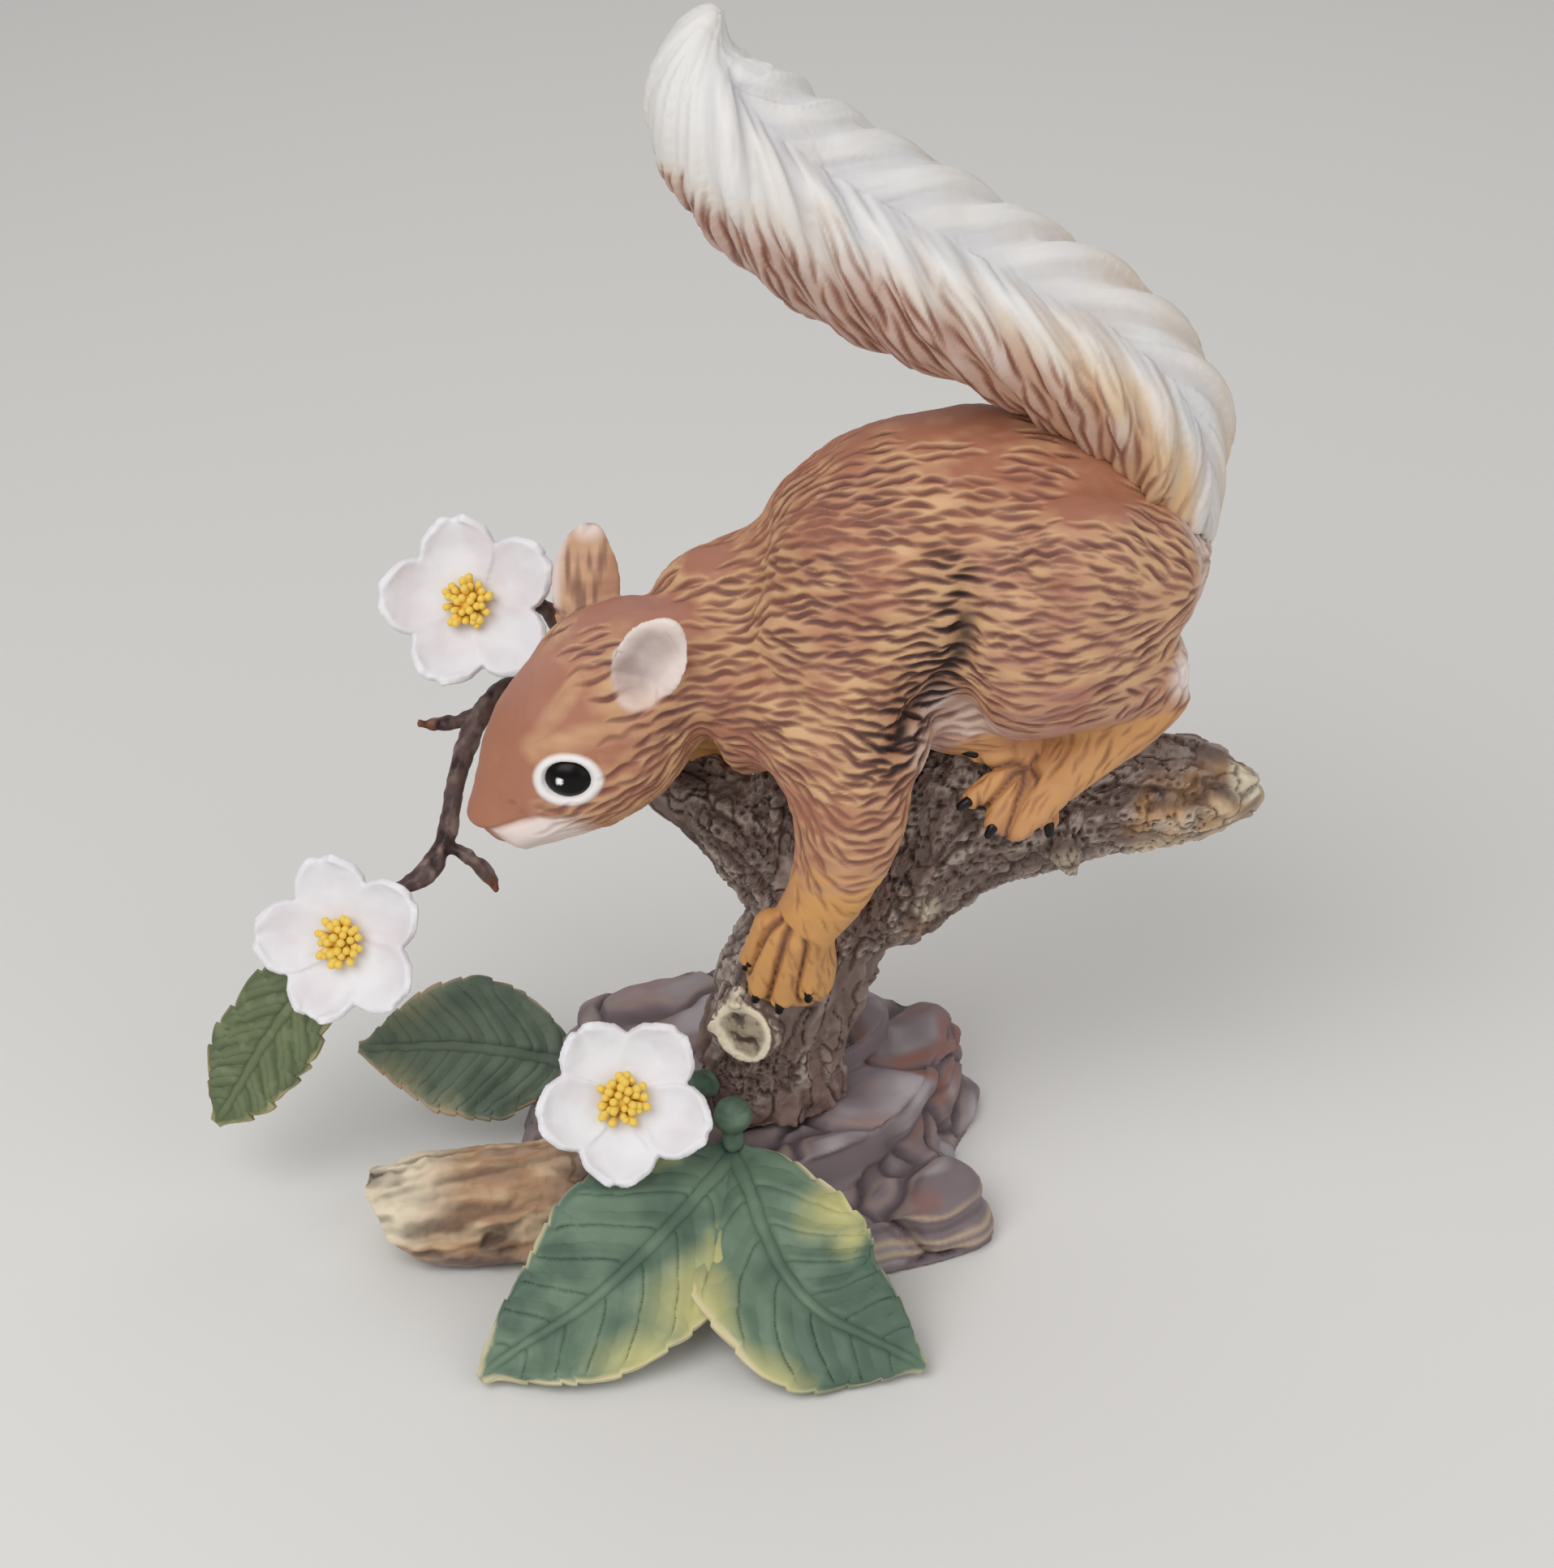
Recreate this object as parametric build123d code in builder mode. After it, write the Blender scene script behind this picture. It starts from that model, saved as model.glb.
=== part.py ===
from build123d import *
import os
from math import cos, pi, radians, sin, sqrt

# Porcelain squirrel that climbs down a forked branch, with leaves and blossoms.
# The ornament is built as its maker lutes it together: slip-cast shells for the ground, the branches
# and the animal, hand-pressed leaves and petals, and a metal twig that carries two blossoms.
# Lengths are in millimetres, +Z is up, and the origin lies on the flat foot that it rests on.
# Places are written as shares of the named sizes, so the whole ornament follows them.

os.makedirs("parts", exist_ok=True)

# Ground: layered rock with a flat foot
rock_width = 74.0
rock_depth = 64.0
rock_height = 22.0
casting_wall = 3.5
vent_radius = 3.0

# Trunk and branches
trunk_height = 48.0
trunk_radius = 10.5
trunk_lean = 6.0
trunk_foot_x = 8.0
right_branch_reach = 67.0
right_branch_rise = 21.7
right_branch_radius = 8.4
left_branch_reach = 36.0
left_branch_rise = 27.0
left_branch_setback = 19.0
left_branch_radius = 7.4
stub_radius = 5.2
stub_length = 7.5
stub_heart_depth = 0.9
bark_ring = 1.2

# Fallen log and the roots on the ground
log_length = 41.0
log_radius = 8.2
root_length = 17.0
root_radius = 3.4

# Squirrel
body_length = 70.0
body_height = 42.5
body_width = 41.0
hip_height = 40.7
head_length = 39.0
head_width = 29.0
head_height = 27.0
ear_length = 16.5
ear_width = 10.5
ear_thickness = 2.8
foreleg_girth = 17.0
thigh_length = 33.0
thigh_thickness = 14.0
hind_foot_length = 34.0
hind_foot_width = 17.0
hind_foot_thickness = 8.0
tail_length = 118.0
tail_width = 31.0
tail_thickness = 25.0
lock_pitch = 11.0
lock_width = 5.6
lock_rise = 1.6
lock_count = 8
crease_turn = 225

# Pressed leaves and their stalks
front_leaf_length = 46.0
front_leaf_width = 29.0
back_leaf_length = 36.0
back_leaf_width = 25.0
twig_leaf_length = 33.0
twig_leaf_width = 16.0
leaf_thickness = 1.7
leaf_fold = 0.10
bud_radius = 2.9
stalk_radius = 2.1

# Blossoms
petal_length = 13.2
petal_width = 13.6
petal_thickness = 1.1
petal_count = 5
cup_depth = 3.0
core_radius = 2.0
core_height = 2.6
anther_radius = 0.52
anther_length = 1.7
filament_radius = 0.24
stamen_length = 2.3
stamen_count = 24

# Metal twig
twig_reach = 34.0
twig_radius = 1.5
spur_radius = 1.3

rightwards = Vector(1, 0, 0)
backwards = Vector(0, 1, 0)
upwards = Vector(0, 0, 1)


def scaled(shares, size):
    """Turn a row of shares into sizes."""
    return [share * size for share in shares]


def places(origin, shares, size):
    """Turn rows of shares into points about an origin."""
    return [origin + Vector(*share) * size for share in shares]


def route(start, end, shares):
    """Lay points from start to end: each row is a share of the way, then the bow in x, y and z."""
    span = end - start
    return [start + span * along + Vector(*bow) * span.length for along, *bow in shares]


def ring_planes(path, side):
    """Give a plane square to the path at each point, its x axis as near as can be to `side`."""
    planes = []
    for index, centre in enumerate(path):
        before = path[max(index - 1, 0)]
        after = path[min(index + 1, len(path) - 1)]
        along = (after - before).normalized()
        across = (side - along * side.dot(along)).normalized()
        planes.append(Plane(origin=centre, x_dir=across, z_dir=along))
    return planes


def swollen(path, half_widths, half_heights, side):
    """Loft a limb through ellipses along a path, its width lying along `side`."""
    with BuildPart() as limb:
        for plane, half_width, half_height in zip(ring_planes(path, side), half_widths, half_heights):
            with BuildSketch(plane):
                Ellipse(half_width, half_height)
        loft()
    return limb.part


def cut_back(form, *neighbours):
    """Cut a form back to the faces of the pieces that it is luted to, and keep its main solid."""
    with BuildPart() as cut:
        add(form)
        for neighbour in neighbours:
            add(neighbour, mode=Mode.SUBTRACT)
    return cut.part.solids().sort_by(SortBy.VOLUME)[-1]


def save(piece, name):
    """Label a finished piece and write it."""
    piece.part.label = name
    export_step(piece.part, f"parts/{name}.step")


# Rock ground: three stacked ledges, each lofted from its outline to a slightly smaller one
low_ledge_shares = [
    (-0.42, -0.30), (-0.20, -0.48), (0.10, -0.53), (0.34, -0.43), (0.57, -0.27), (0.49, -0.05),
    (0.53, 0.16), (0.56, 0.35), (0.30, 0.54), (-0.12, 0.56), (-0.38, 0.42), (-0.46, 0.10),
]
middle_ledge_shares = [
    (-0.34, -0.20), (-0.06, -0.38), (0.22, -0.30), (0.40, -0.12), (0.49, 0.10),
    (0.54, 0.34), (0.28, 0.49), (-0.12, 0.50), (-0.36, 0.36), (-0.41, 0.06),
]
top_ledge_shares = [
    (-0.30, 0.04), (-0.04, -0.06), (0.22, 0.00), (0.37, 0.22),
    (0.28, 0.42), (-0.12, 0.45), (-0.33, 0.30),
]
ledge_tops = scaled([0.40, 0.74, 1.0], rock_height)
ledge_batter = 0.90
with BuildPart() as rock_mass:
    for ledge_shares, ledge_top in zip([low_ledge_shares, middle_ledge_shares, top_ledge_shares], ledge_tops):
        for level, spread in ((0, 1.0), (ledge_top, ledge_batter)):
            with BuildSketch(Plane.XY.offset(level)):
                with BuildLine():
                    Spline(
                        *[(x * rock_width * spread, y * rock_depth * spread) for x, y in ledge_shares],
                        periodic=True,
                    )
                make_face()
        loft()

cavity_width = 0.60 * rock_width
cavity_depth = 0.50 * rock_depth
with BuildPart() as rock_base:
    add(rock_mass.part)
    for level, spread in ((casting_wall, 1.0), (ledge_tops[1] - casting_wall, ledge_batter)):
        with BuildSketch(Plane.XY.offset(level)):
            Ellipse(cavity_width / 2 * spread, cavity_depth / 2 * spread)
    loft(mode=Mode.SUBTRACT)
    with BuildSketch(Plane.XY):
        with Locations((cavity_width / 4, 0)):
            Circle(vent_radius)
    extrude(amount=1.5 * casting_wall, mode=Mode.SUBTRACT)
save(rock_base, "rock_base")

with BuildPart() as underside:
    with BuildSketch(Plane.XY):
        Rectangle(3 * rock_width, 3 * rock_depth)
    extrude(amount=-rock_height)

# Trunk: flares into the ground and leans to the right
trunk_foot = rightwards * trunk_foot_x
fork = trunk_foot + Vector(trunk_lean, 0, trunk_height)
trunk_way_shares = [
    (0.03, -0.04, 0, 0), (0.16, -0.05, 0, 0), (0.34, -0.08, 0, 0),
    (0.56, -0.09, 0, 0), (0.78, -0.04, 0, 0), (0.98, 0, 0, 0),
]
trunk_form = swollen(
    route(trunk_foot, fork, trunk_way_shares),
    scaled([2.0, 1.62, 1.22, 1.08, 1.10, 0.98], trunk_radius),
    scaled([1.85, 1.50, 1.15, 1.0, 0.95, 0.85], trunk_radius),
    rightwards,
)
with BuildPart() as trunk:
    add(cut_back(trunk_form, rock_mass.part))
save(trunk, "trunk")

# Right branch: carries the hind feet, swells into a saddle under the belly, and ends in a broken tip
right_tip = fork + Vector(right_branch_reach, 0.06 * right_branch_reach, right_branch_rise)
right_way_shares = [
    (0.0, -0.01, 0, -0.05), (0.15, 0, 0, 0.045), (0.315, 0, 0, 0.092), (0.495, 0, 0, 0.093),
    (0.69, 0, 0, 0.075), (0.81, 0, 0, 0.048), (0.93, 0, 0, 0.002), (1.0, 0, 0, 0.0),
]
right_path = route(fork, right_tip, right_way_shares)
right_radii = scaled([1.20, 1.20, 1.06, 0.96, 1.0, 0.92, 0.66, 0.28], right_branch_radius)
saddle_way_shares = [
    (0.12, 0, 0, 0.077), (0.21, 0.002, 0, 0.190), (0.313, 0.003, 0, 0.187), (0.418, 0.005, 0, 0.183),
    (0.537, 0.005, 0, 0.139),
]
saddle_widths = scaled([0.70, 0.95, 1.0, 0.95, 0.70], right_branch_radius)
saddle_heights = scaled([0.70, 1.35, 1.38, 1.07, 0.60], right_branch_radius)
saddle_form = swollen(route(fork, right_tip, saddle_way_shares), saddle_widths, saddle_heights, backwards)
with BuildPart() as right_limb:
    add(swollen(right_path, right_radii, right_radii, backwards))
    add(saddle_form)
right_form = right_limb.part
with BuildPart() as right_branch:
    add(cut_back(right_form, trunk_form))
save(right_branch, "right_branch")

# Left branch: runs back behind the head and holds the twig
left_tip = fork + Vector(-left_branch_reach, left_branch_setback, left_branch_rise)
left_way_shares = [
    (0.0, 0.0, 0.0, -0.14), (0.20, 0.015, 0, 0.04), (0.44, 0, 0.02, 0.06),
    (0.72, 0, 0.02, 0.02), (0.94, 0, 0, 0), (1.0, 0, 0, 0),
]
left_path = route(fork, left_tip, left_way_shares)
left_radii = scaled([1.05, 0.98, 0.90, 0.80, 0.66, 0.45], left_branch_radius)
left_form = swollen(left_path, left_radii, left_radii, upwards)
with BuildPart() as left_branch:
    add(cut_back(left_form, trunk_form, right_form))
save(left_branch, "left_branch")

# Sawn stub on the front of the trunk, its heartwood a little sunk
stub_root = route(trunk_foot, fork, [(0.70, -0.05, 0, 0)])[0]
stub_way = Vector(-0.50, -0.86, 0.12).normalized()
stub_start = stub_root + stub_way * (0.45 * trunk_radius)
stub_face = stub_root + stub_way * (0.72 * trunk_radius + stub_length)
with BuildPart() as stub_form:
    for share, girth in ((0, 1.25), (0.5, 1.1), (1, 1.0)):
        with BuildSketch(Plane(origin=stub_start + (stub_face - stub_start) * share, z_dir=stub_way)):
            Circle(stub_radius * girth)
    loft()
    with BuildSketch(Plane(origin=stub_face, z_dir=stub_way)):
        Circle(stub_radius - bark_ring)
    extrude(amount=-stub_heart_depth, mode=Mode.SUBTRACT)
with BuildPart() as sawn_stub:
    add(cut_back(stub_form.part, trunk_form))
save(sawn_stub, "sawn_stub")

# Log that lies out to the left with a pale broken end
log_start = Vector(-0.20 * rock_width, -0.27 * rock_depth, log_radius)
log_end = log_start + Vector(-log_length, -0.05 * log_length, -0.12 * log_radius)
log_way_shares = [
    (0.0, 0, 0, 0), (0.30, 0, 0, 0.01), (0.62, 0, 0, 0), (0.88, 0, 0, -0.01), (1.0, 0, 0, -0.015),
]
log_form = swollen(
    route(log_start, log_end, log_way_shares),
    scaled([1.25, 1.12, 1.02, 0.92, 0.62], log_radius),
    scaled([1.15, 1.02, 0.90, 0.74, 0.46], log_radius),
    backwards,
)
with BuildPart() as fallen_log:
    add(cut_back(log_form, rock_mass.part, trunk_form, underside.part))
save(fallen_log, "fallen_log")

# Two finger roots that run down over the rock to the front and right
root_forms = []
for name, turn, start_level, end_level in (("long_root", -68, 0.84, 0.36), ("short_root", -38, 0.84, 0.62)):
    root_way = rightwards * cos(radians(turn)) + backwards * sin(radians(turn))
    root_start = trunk_foot + root_way * trunk_radius + upwards * (start_level * rock_height)
    root_end = trunk_foot + root_way * (trunk_radius + root_length) + upwards * (end_level * rock_height)
    root_radii = scaled([1.5, 1.15, 0.9, 0.45], root_radius)
    root_path = route(root_start, root_end, [
        (0, 0, 0, 0), (0.35, 0, 0, 0.05), (0.7, 0, 0, 0.02), (1, 0, 0, 0),
    ])
    root_form = swollen(root_path, root_radii, root_radii, upwards)
    with BuildPart() as root:
        add(cut_back(root_form, rock_mass.part, trunk_form, *root_forms))
    save(root, name)
    root_forms.append(root_form)

# Torso: hangs over the right branch, haunches high and chest low. The shell is open at the neck,
# where the head closes it.
hips = right_path[3] + Vector(0.069 * body_length, 0.03 * body_length, hip_height)
body_place_shares = [
    (0.215, 0, -0.095), (0.20, 0, -0.08), (0.135, 0, -0.035), (0.02, 0, 0), (-0.171, 0, 0.02),
    (-0.349, -0.014, 0.008), (-0.534, -0.029, -0.129), (-0.671, -0.043, -0.232), (-0.786, -0.057, -0.279),
]
body_wide_shares = [0.08, 0.19, 0.36, 0.47, 0.50, 0.48, 0.41, 0.345, 0.30]
body_high_shares = [0.08, 0.17, 0.35, 0.465, 0.53, 0.52, 0.42, 0.335, 0.29]
body_path = places(hips, body_place_shares, body_length)
body_form = swollen(
    body_path, scaled(body_wide_shares, body_width), scaled(body_high_shares, body_height), backwards
)
neck = body_path[-1]
hollow_path = body_path[2:] + [neck + (neck - body_path[-2])]
hollow_wide_shares = body_wide_shares[2:] + body_wide_shares[-1:]
hollow_high_shares = body_high_shares[2:] + body_high_shares[-1:]
torso_hollow = swollen(
    hollow_path,
    [share * body_width - casting_wall for share in hollow_wide_shares],
    [share * body_height - casting_wall for share in hollow_high_shares],
    backwards,
)
with BuildPart() as torso:
    add(cut_back(body_form, torso_hollow))
save(torso, "torso")

# Head: looks down and a little outwards to its left
head_way = Vector(-0.733, -0.25, -0.635).normalized()
head_left = Vector(0.38, -0.92, -0.07)
head_left = (head_left - head_way * head_left.dot(head_way)).normalized()
head_up = head_way.cross(head_left)
head_place_shares = [
    (0.013, -0.008, 0.244), (-0.038, -0.015, 0.226), (-0.14, -0.041, 0.177), (-0.295, -0.077, 0.085),
    (-0.412, -0.144, -0.038), (-0.569, -0.218, -0.164), (-0.672, -0.264, -0.254),
    (-0.744, -0.308, -0.326), (-0.810, -0.336, -0.372), (-0.836, -0.351, -0.392),
]
head_girth_shares = [0.10, 0.24, 0.40, 0.485, 0.50, 0.43, 0.335, 0.235, 0.155, 0.06]
head_path = places(neck, head_place_shares, head_length)
head_form = swollen(
    head_path, scaled(head_girth_shares, head_width), scaled(head_girth_shares, head_height), head_left
)
with BuildPart() as head:
    add(cut_back(head_form, body_form))
save(head, "head")


def in_head(along, aside, above):
    """Turn shares along, aside and above in the head's own axes into a direction."""
    return head_way * along + head_left * aside + head_up * above


# Ears: cupped ovals on the back of the skull, each with its own lean
ear_settings = {
    "ear_left": (in_head(0.0, 0.255, 0.13), in_head(-0.815, 0.239, 0.532), in_head(0.10, 0.90, 0.42)),
    "ear_right": (in_head(-0.02, -0.26, 0.14), in_head(-0.70, -0.25, 0.65), in_head(-0.13, -0.78, -0.61)),
}
for name, (ear_offset, ear_way, ear_face) in ear_settings.items():
    ear_root = head_path[3] + ear_offset * head_length
    ear_way = ear_way.normalized()
    ear_form = swollen(
        [ear_root + ear_way * (share * ear_length) for share in (0, 0.25, 0.5, 0.75, 0.93, 1)],
        scaled([0.36, 0.46, 0.50, 0.42, 0.24, 0.08], ear_width),
        scaled([0.60, 0.52, 0.45, 0.36, 0.26, 0.14], ear_thickness),
        ear_way.cross(ear_face),
    )
    with BuildPart() as ear:
        add(cut_back(ear_form, head_form, body_form))
    save(ear, name)

# Hind legs: a rounded thigh on each side, then a long foot down onto the branch
thigh_place_shares = [
    (0.58, 0, -0.24), (0.48, 0, -0.22), (0.24, 0, -0.10), (0, 0, 0), (-0.20, 0, 0.05), (-0.36, 0, 0.05),
    (-0.46, 0, 0.03),
]
thigh_wide_shares = [0.25, 0.42, 0.78, 1.0, 0.92, 0.60, 0.25]
thigh_high_shares = [0.11, 0.20, 0.38, 0.50, 0.48, 0.34, 0.15]
foot_way_shares = [
    (0, 0, 0, 0), (0.12, 0, 0, 0), (0.40, 0, 0, 0.02), (0.70, 0, 0, 0.03), (0.92, 0, 0, 0), (1, 0, 0, -0.02),
]
foot_wide_shares = [0.20, 0.28, 0.38, 0.46, 0.50, 0.34]
foot_thick_shares = [0.22, 0.42, 0.50, 0.42, 0.28, 0.12]
thigh_forms = {}
foot_forms = {}
for side_name, side in (("left", -1), ("right", 1)):
    thigh_centre = hips + Vector(-0.07 * body_length, side * 0.30 * body_width, -0.10 * body_height)
    thigh_path = places(thigh_centre, thigh_place_shares, thigh_length)
    thigh_form = swollen(
        thigh_path,
        scaled(thigh_wide_shares, thigh_thickness),
        scaled(thigh_high_shares, thigh_length),
        backwards,
    )
    with BuildPart() as thigh:
        add(cut_back(thigh_form, body_form))
    save(thigh, f"thigh_{side_name}")
    thigh_forms[side_name] = thigh_form
    toes = right_path[3] + Vector(
        -0.24 * hind_foot_length, side * 1.10 * right_branch_radius, 0.78 * right_branch_radius
    )
    foot_form = swollen(
        route(thigh_path[0], toes, foot_way_shares),
        scaled(foot_wide_shares, hind_foot_width),
        scaled(foot_thick_shares, hind_foot_thickness),
        Vector(0.35, side, -0.3),
    )
    foot_forms[side_name] = foot_form
    with BuildPart() as hind_foot:
        add(cut_back(foot_form, body_form, thigh_form, right_form))
    save(hind_foot, f"hind_foot_{side_name}")

# Forelegs: the left one reaches down the trunk, the right one holds the left branch
shoulder = body_path[-3]
left_paw = route(trunk_foot, fork, [(0.86, 0, 0, 0)])[0] + Vector(-0.40, -1.22, 0) * trunk_radius
right_paw = left_path[2] + Vector(0, 0.85, 0.55) * left_branch_radius
foreleg_way_shares = [
    (0, 0, 0, 0), (0.16, 0.05, -0.04, 0), (0.36, 0.12, -0.09, 0), (0.58, 0.10, -0.08, 0),
    (0.78, 0.03, -0.03, 0), (0.92, 0, 0, 0), (1, 0, 0, 0),
]
foreleg_forms = {}
for side_name, upper_shares, paw in (
    ("left", (0, -0.22, -0.02), left_paw),
    ("right", (-0.13, 0.28, 0.20), right_paw),
):
    upper_arm = shoulder + Vector(*upper_shares) * body_width
    foreleg_forms[side_name] = swollen(
        route(upper_arm, paw, foreleg_way_shares),
        scaled([0.72, 0.78, 0.58, 0.42, 0.35, 0.40, 0.22], foreleg_girth),
        scaled([0.45, 0.55, 0.46, 0.36, 0.30, 0.26, 0.12], foreleg_girth),
        rightwards,
    )
with BuildPart() as foreleg_left:
    add(cut_back(foreleg_forms["left"], body_form, head_form, trunk_form, right_form, stub_form.part))
save(foreleg_left, "foreleg_left")
with BuildPart() as foreleg_right:
    add(cut_back(foreleg_forms["right"], body_form, head_form, left_form, trunk_form, right_form))
save(foreleg_right, "foreleg_right")

# Belly: hangs between the legs and rests on the branch's saddle
belly_place_shares = [
    (-0.43, -0.05, -0.22), (-0.314, -0.05, -0.257), (-0.214, -0.045, -0.264), (-0.10, -0.03, -0.243),
    (0, -0.016, -0.20),
]
belly_form = swollen(
    places(hips, belly_place_shares, body_length),
    scaled([0.08, 0.22, 0.28, 0.27, 0.12], body_width),
    scaled([0.07, 0.20, 0.22, 0.21, 0.12], body_height),
    backwards,
)
limb_forms = [*thigh_forms.values(), *foot_forms.values(), *foreleg_forms.values()]
with BuildPart() as belly:
    add(cut_back(belly_form, body_form, right_form, *limb_forms))
save(belly, "belly")

# Tail: a plume that rises off the rump and sweeps back over the body. A row of locks on each side
# runs up to a crease. The shell is open at its root, where the torso closes it.
tail_root = hips + rightwards * (0.20 * body_length)
tail_place_shares = [
    (-0.050, 0, -0.042), (-0.034, 0, 0.008), (-0.024, 0.008, 0.093), (-0.044, 0.017, 0.190),
    (-0.140, 0.025, 0.286), (-0.290, 0.034, 0.363), (-0.436, 0.034, 0.447), (-0.535, 0.025, 0.528),
    (-0.583, 0.017, 0.610), (-0.582, 0.013, 0.662), (-0.563, 0.008, 0.70),
]
tail_wide_shares = [0.20, 0.27, 0.33, 0.40, 0.47, 0.50, 0.50, 0.45, 0.32, 0.18, 0.05]
tail_thick_shares = [0.22, 0.30, 0.36, 0.43, 0.48, 0.51, 0.52, 0.45, 0.32, 0.18, 0.05]
tail_path = places(tail_root, tail_place_shares, tail_length)
tail_form = swollen(
    tail_path, scaled(tail_wide_shares, tail_width), scaled(tail_thick_shares, tail_thickness), backwards
)
tail_hollow = swollen(
    tail_path[:-2],
    [share * tail_width - casting_wall for share in tail_wide_shares[:-2]],
    [share * tail_thickness - casting_wall for share in tail_thick_shares[:-2]],
    backwards,
)
tail_planes = ring_planes(tail_path, backwards)
tail_runs = [0.0]
for before, after in zip(tail_path, tail_path[1:]):
    tail_runs.append(tail_runs[-1] + (after - before).length)


def ring_number(run):
    """Turn a distance along the tail into a ring number."""
    index = sum(1 for mark in tail_runs[1:-1] if mark <= run)
    return index + (run - tail_runs[index]) / (tail_runs[index + 1] - tail_runs[index])


def between(rows, number):
    """Give the value at a ring number on a smooth curve through the rings' values."""
    index = int(number)
    part = number - index
    before, here, there, after = (rows[min(max(index + step, 0), len(rows) - 1)] for step in (-1, 0, 1, 2))
    return (
        here * 2 + (there - before) * part + (before * 2 - here * 5 + there * 4 - after) * part**2
        + (here * 3 - before - there * 3 + after) * part**3
    ) * 0.5


def on_tail(run, turn, lift):
    """Give a point off the tail's skin, `run` along the tail and `turn` degrees round it."""
    number = ring_number(run)
    half_width = between(tail_wide_shares, number) * tail_width + lift
    half_height = between(tail_thick_shares, number) * tail_thickness + lift
    across = between([plane.x_dir for plane in tail_planes], number) * (half_width * cos(radians(turn)))
    upright = between([plane.y_dir for plane in tail_planes], number) * (half_height * sin(radians(turn)))
    return between(tail_path, number) + across + upright


# Each row: degrees from the crease, run from the lock's foot in pitches, lift in rises
lock_way_shares = [(74, 0, -0.8), (52, 0.62, -0.25), (30, 1.32, -0.25), (11, 1.98, -0.8)]
lock_forms = []
for index in range(lock_count):
    lock_foot = (1.5 + index) * lock_pitch
    for turn_way in (-1, 1):
        lock_path = [
            on_tail(lock_foot + run * lock_pitch, crease_turn + turn_way * turn, lift * lock_rise)
            for turn, run, lift in lock_way_shares
        ]
        lock_face = lock_path[1] - between(tail_path, ring_number(lock_foot + lock_pitch))
        lock_forms.append(swollen(
            lock_path,
            scaled([0.14, 0.46, 0.50, 0.18], lock_width),
            scaled([0.35, 1.20, 1.25, 0.40], lock_rise),
            lock_face.cross(lock_path[2] - lock_path[1]),
        ))
with BuildPart() as plume_form:
    add(tail_form)
    add(lock_forms)
with BuildPart() as tail:
    add(cut_back(plume_form.part, tail_hollow, body_form, thigh_forms["left"], thigh_forms["right"]))
save(tail, "tail")


def pressed_leaf(midrib, wide_shares, width, side):
    """Loft a thin blade through shallow arcs along a midrib, folded a little upwards."""
    with BuildPart() as blade:
        for plane, share in zip(ring_planes(midrib, side), wide_shares):
            half = share * width / 2
            under = leaf_fold * half
            over = under + leaf_thickness
            with BuildSketch(plane):
                with BuildLine():
                    ThreePointArc((-half, under), (0, 0), (half, under))
                    Line((half, under), (half, over))
                    ThreePointArc((half, over), (0, leaf_thickness), (-half, over))
                    Line((-half, over), (-half, under))
                make_face()
        loft()
    return blade.part


# Front leaves: a pair that drapes from one joint over the edge of the rock
leaf_outline_shares = [0.16, 0.58, 0.90, 1.0, 0.90, 0.60, 0.30, 0.05]
leaf_joint = Vector(0.01 * rock_width, -0.32 * rock_depth, 0.80 * rock_height)
front_left_tip = leaf_joint + Vector(-0.80, -0.72, -0.35) * front_leaf_length
front_right_tip = leaf_joint + Vector(0.62, -0.66, -0.35) * front_leaf_length
left_leaf_way_shares = [
    (0.0, 0, 0, 0), (0.14, 0.03, -0.03, 0.03), (0.30, 0.05, -0.05, 0.04), (0.48, 0.06, -0.06, 0.035),
    (0.66, 0.05, -0.05, 0.02), (0.82, 0.02, -0.02, 0.01), (0.93, 0, 0, 0), (1.0, 0, 0, 0),
]
right_leaf_way_shares = [
    (0.0, 0, 0, 0), (0.14, -0.03, -0.05, 0.03), (0.30, -0.08, -0.11, 0.03), (0.48, -0.12, -0.15, 0.03),
    (0.66, -0.12, -0.13, 0.02), (0.82, -0.06, -0.07, 0.01), (0.93, -0.02, -0.02, 0), (1.0, 0, 0, 0),
]
leaf_left_form = pressed_leaf(
    route(leaf_joint, front_left_tip, left_leaf_way_shares),
    leaf_outline_shares,
    front_leaf_width,
    Vector(0.66, -0.60, -0.45),
)
leaf_right_form = pressed_leaf(
    route(leaf_joint, front_right_tip, right_leaf_way_shares),
    leaf_outline_shares,
    front_leaf_width,
    Vector(0.66, 0.60, 0.45),
)
with BuildPart() as leaf_front_left:
    add(cut_back(leaf_left_form, rock_mass.part, trunk_form, log_form, underside.part, *root_forms))
save(leaf_front_left, "leaf_front_left")
with BuildPart() as leaf_front_right:
    add(cut_back(leaf_right_form, rock_mass.part, trunk_form, leaf_left_form, underside.part, *root_forms))
save(leaf_front_right, "leaf_front_right")

# Back leaf: level, out over the ground to the left
plain_leaf_way_shares = [
    (0.0, 0, 0, 0), (0.14, 0, 0, 0.03), (0.30, 0, 0, 0.05), (0.48, 0, 0, 0.055),
    (0.66, 0, 0, 0.04), (0.82, 0, 0, 0.015), (0.93, 0, 0, 0), (1.0, 0, 0, 0),
]
back_leaf_root = Vector(-0.345 * rock_width, 0.23 * rock_depth, 0.42 * rock_height)
back_leaf_tip = back_leaf_root + Vector(-0.97, -0.10, 0.18) * back_leaf_length
back_leaf_form = pressed_leaf(
    route(back_leaf_root, back_leaf_tip, plain_leaf_way_shares),
    leaf_outline_shares,
    back_leaf_width,
    Vector(0, -0.80, -0.60),
)
with BuildPart() as leaf_back:
    add(cut_back(back_leaf_form, rock_mass.part, log_form))
save(leaf_back, "leaf_back")

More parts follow.
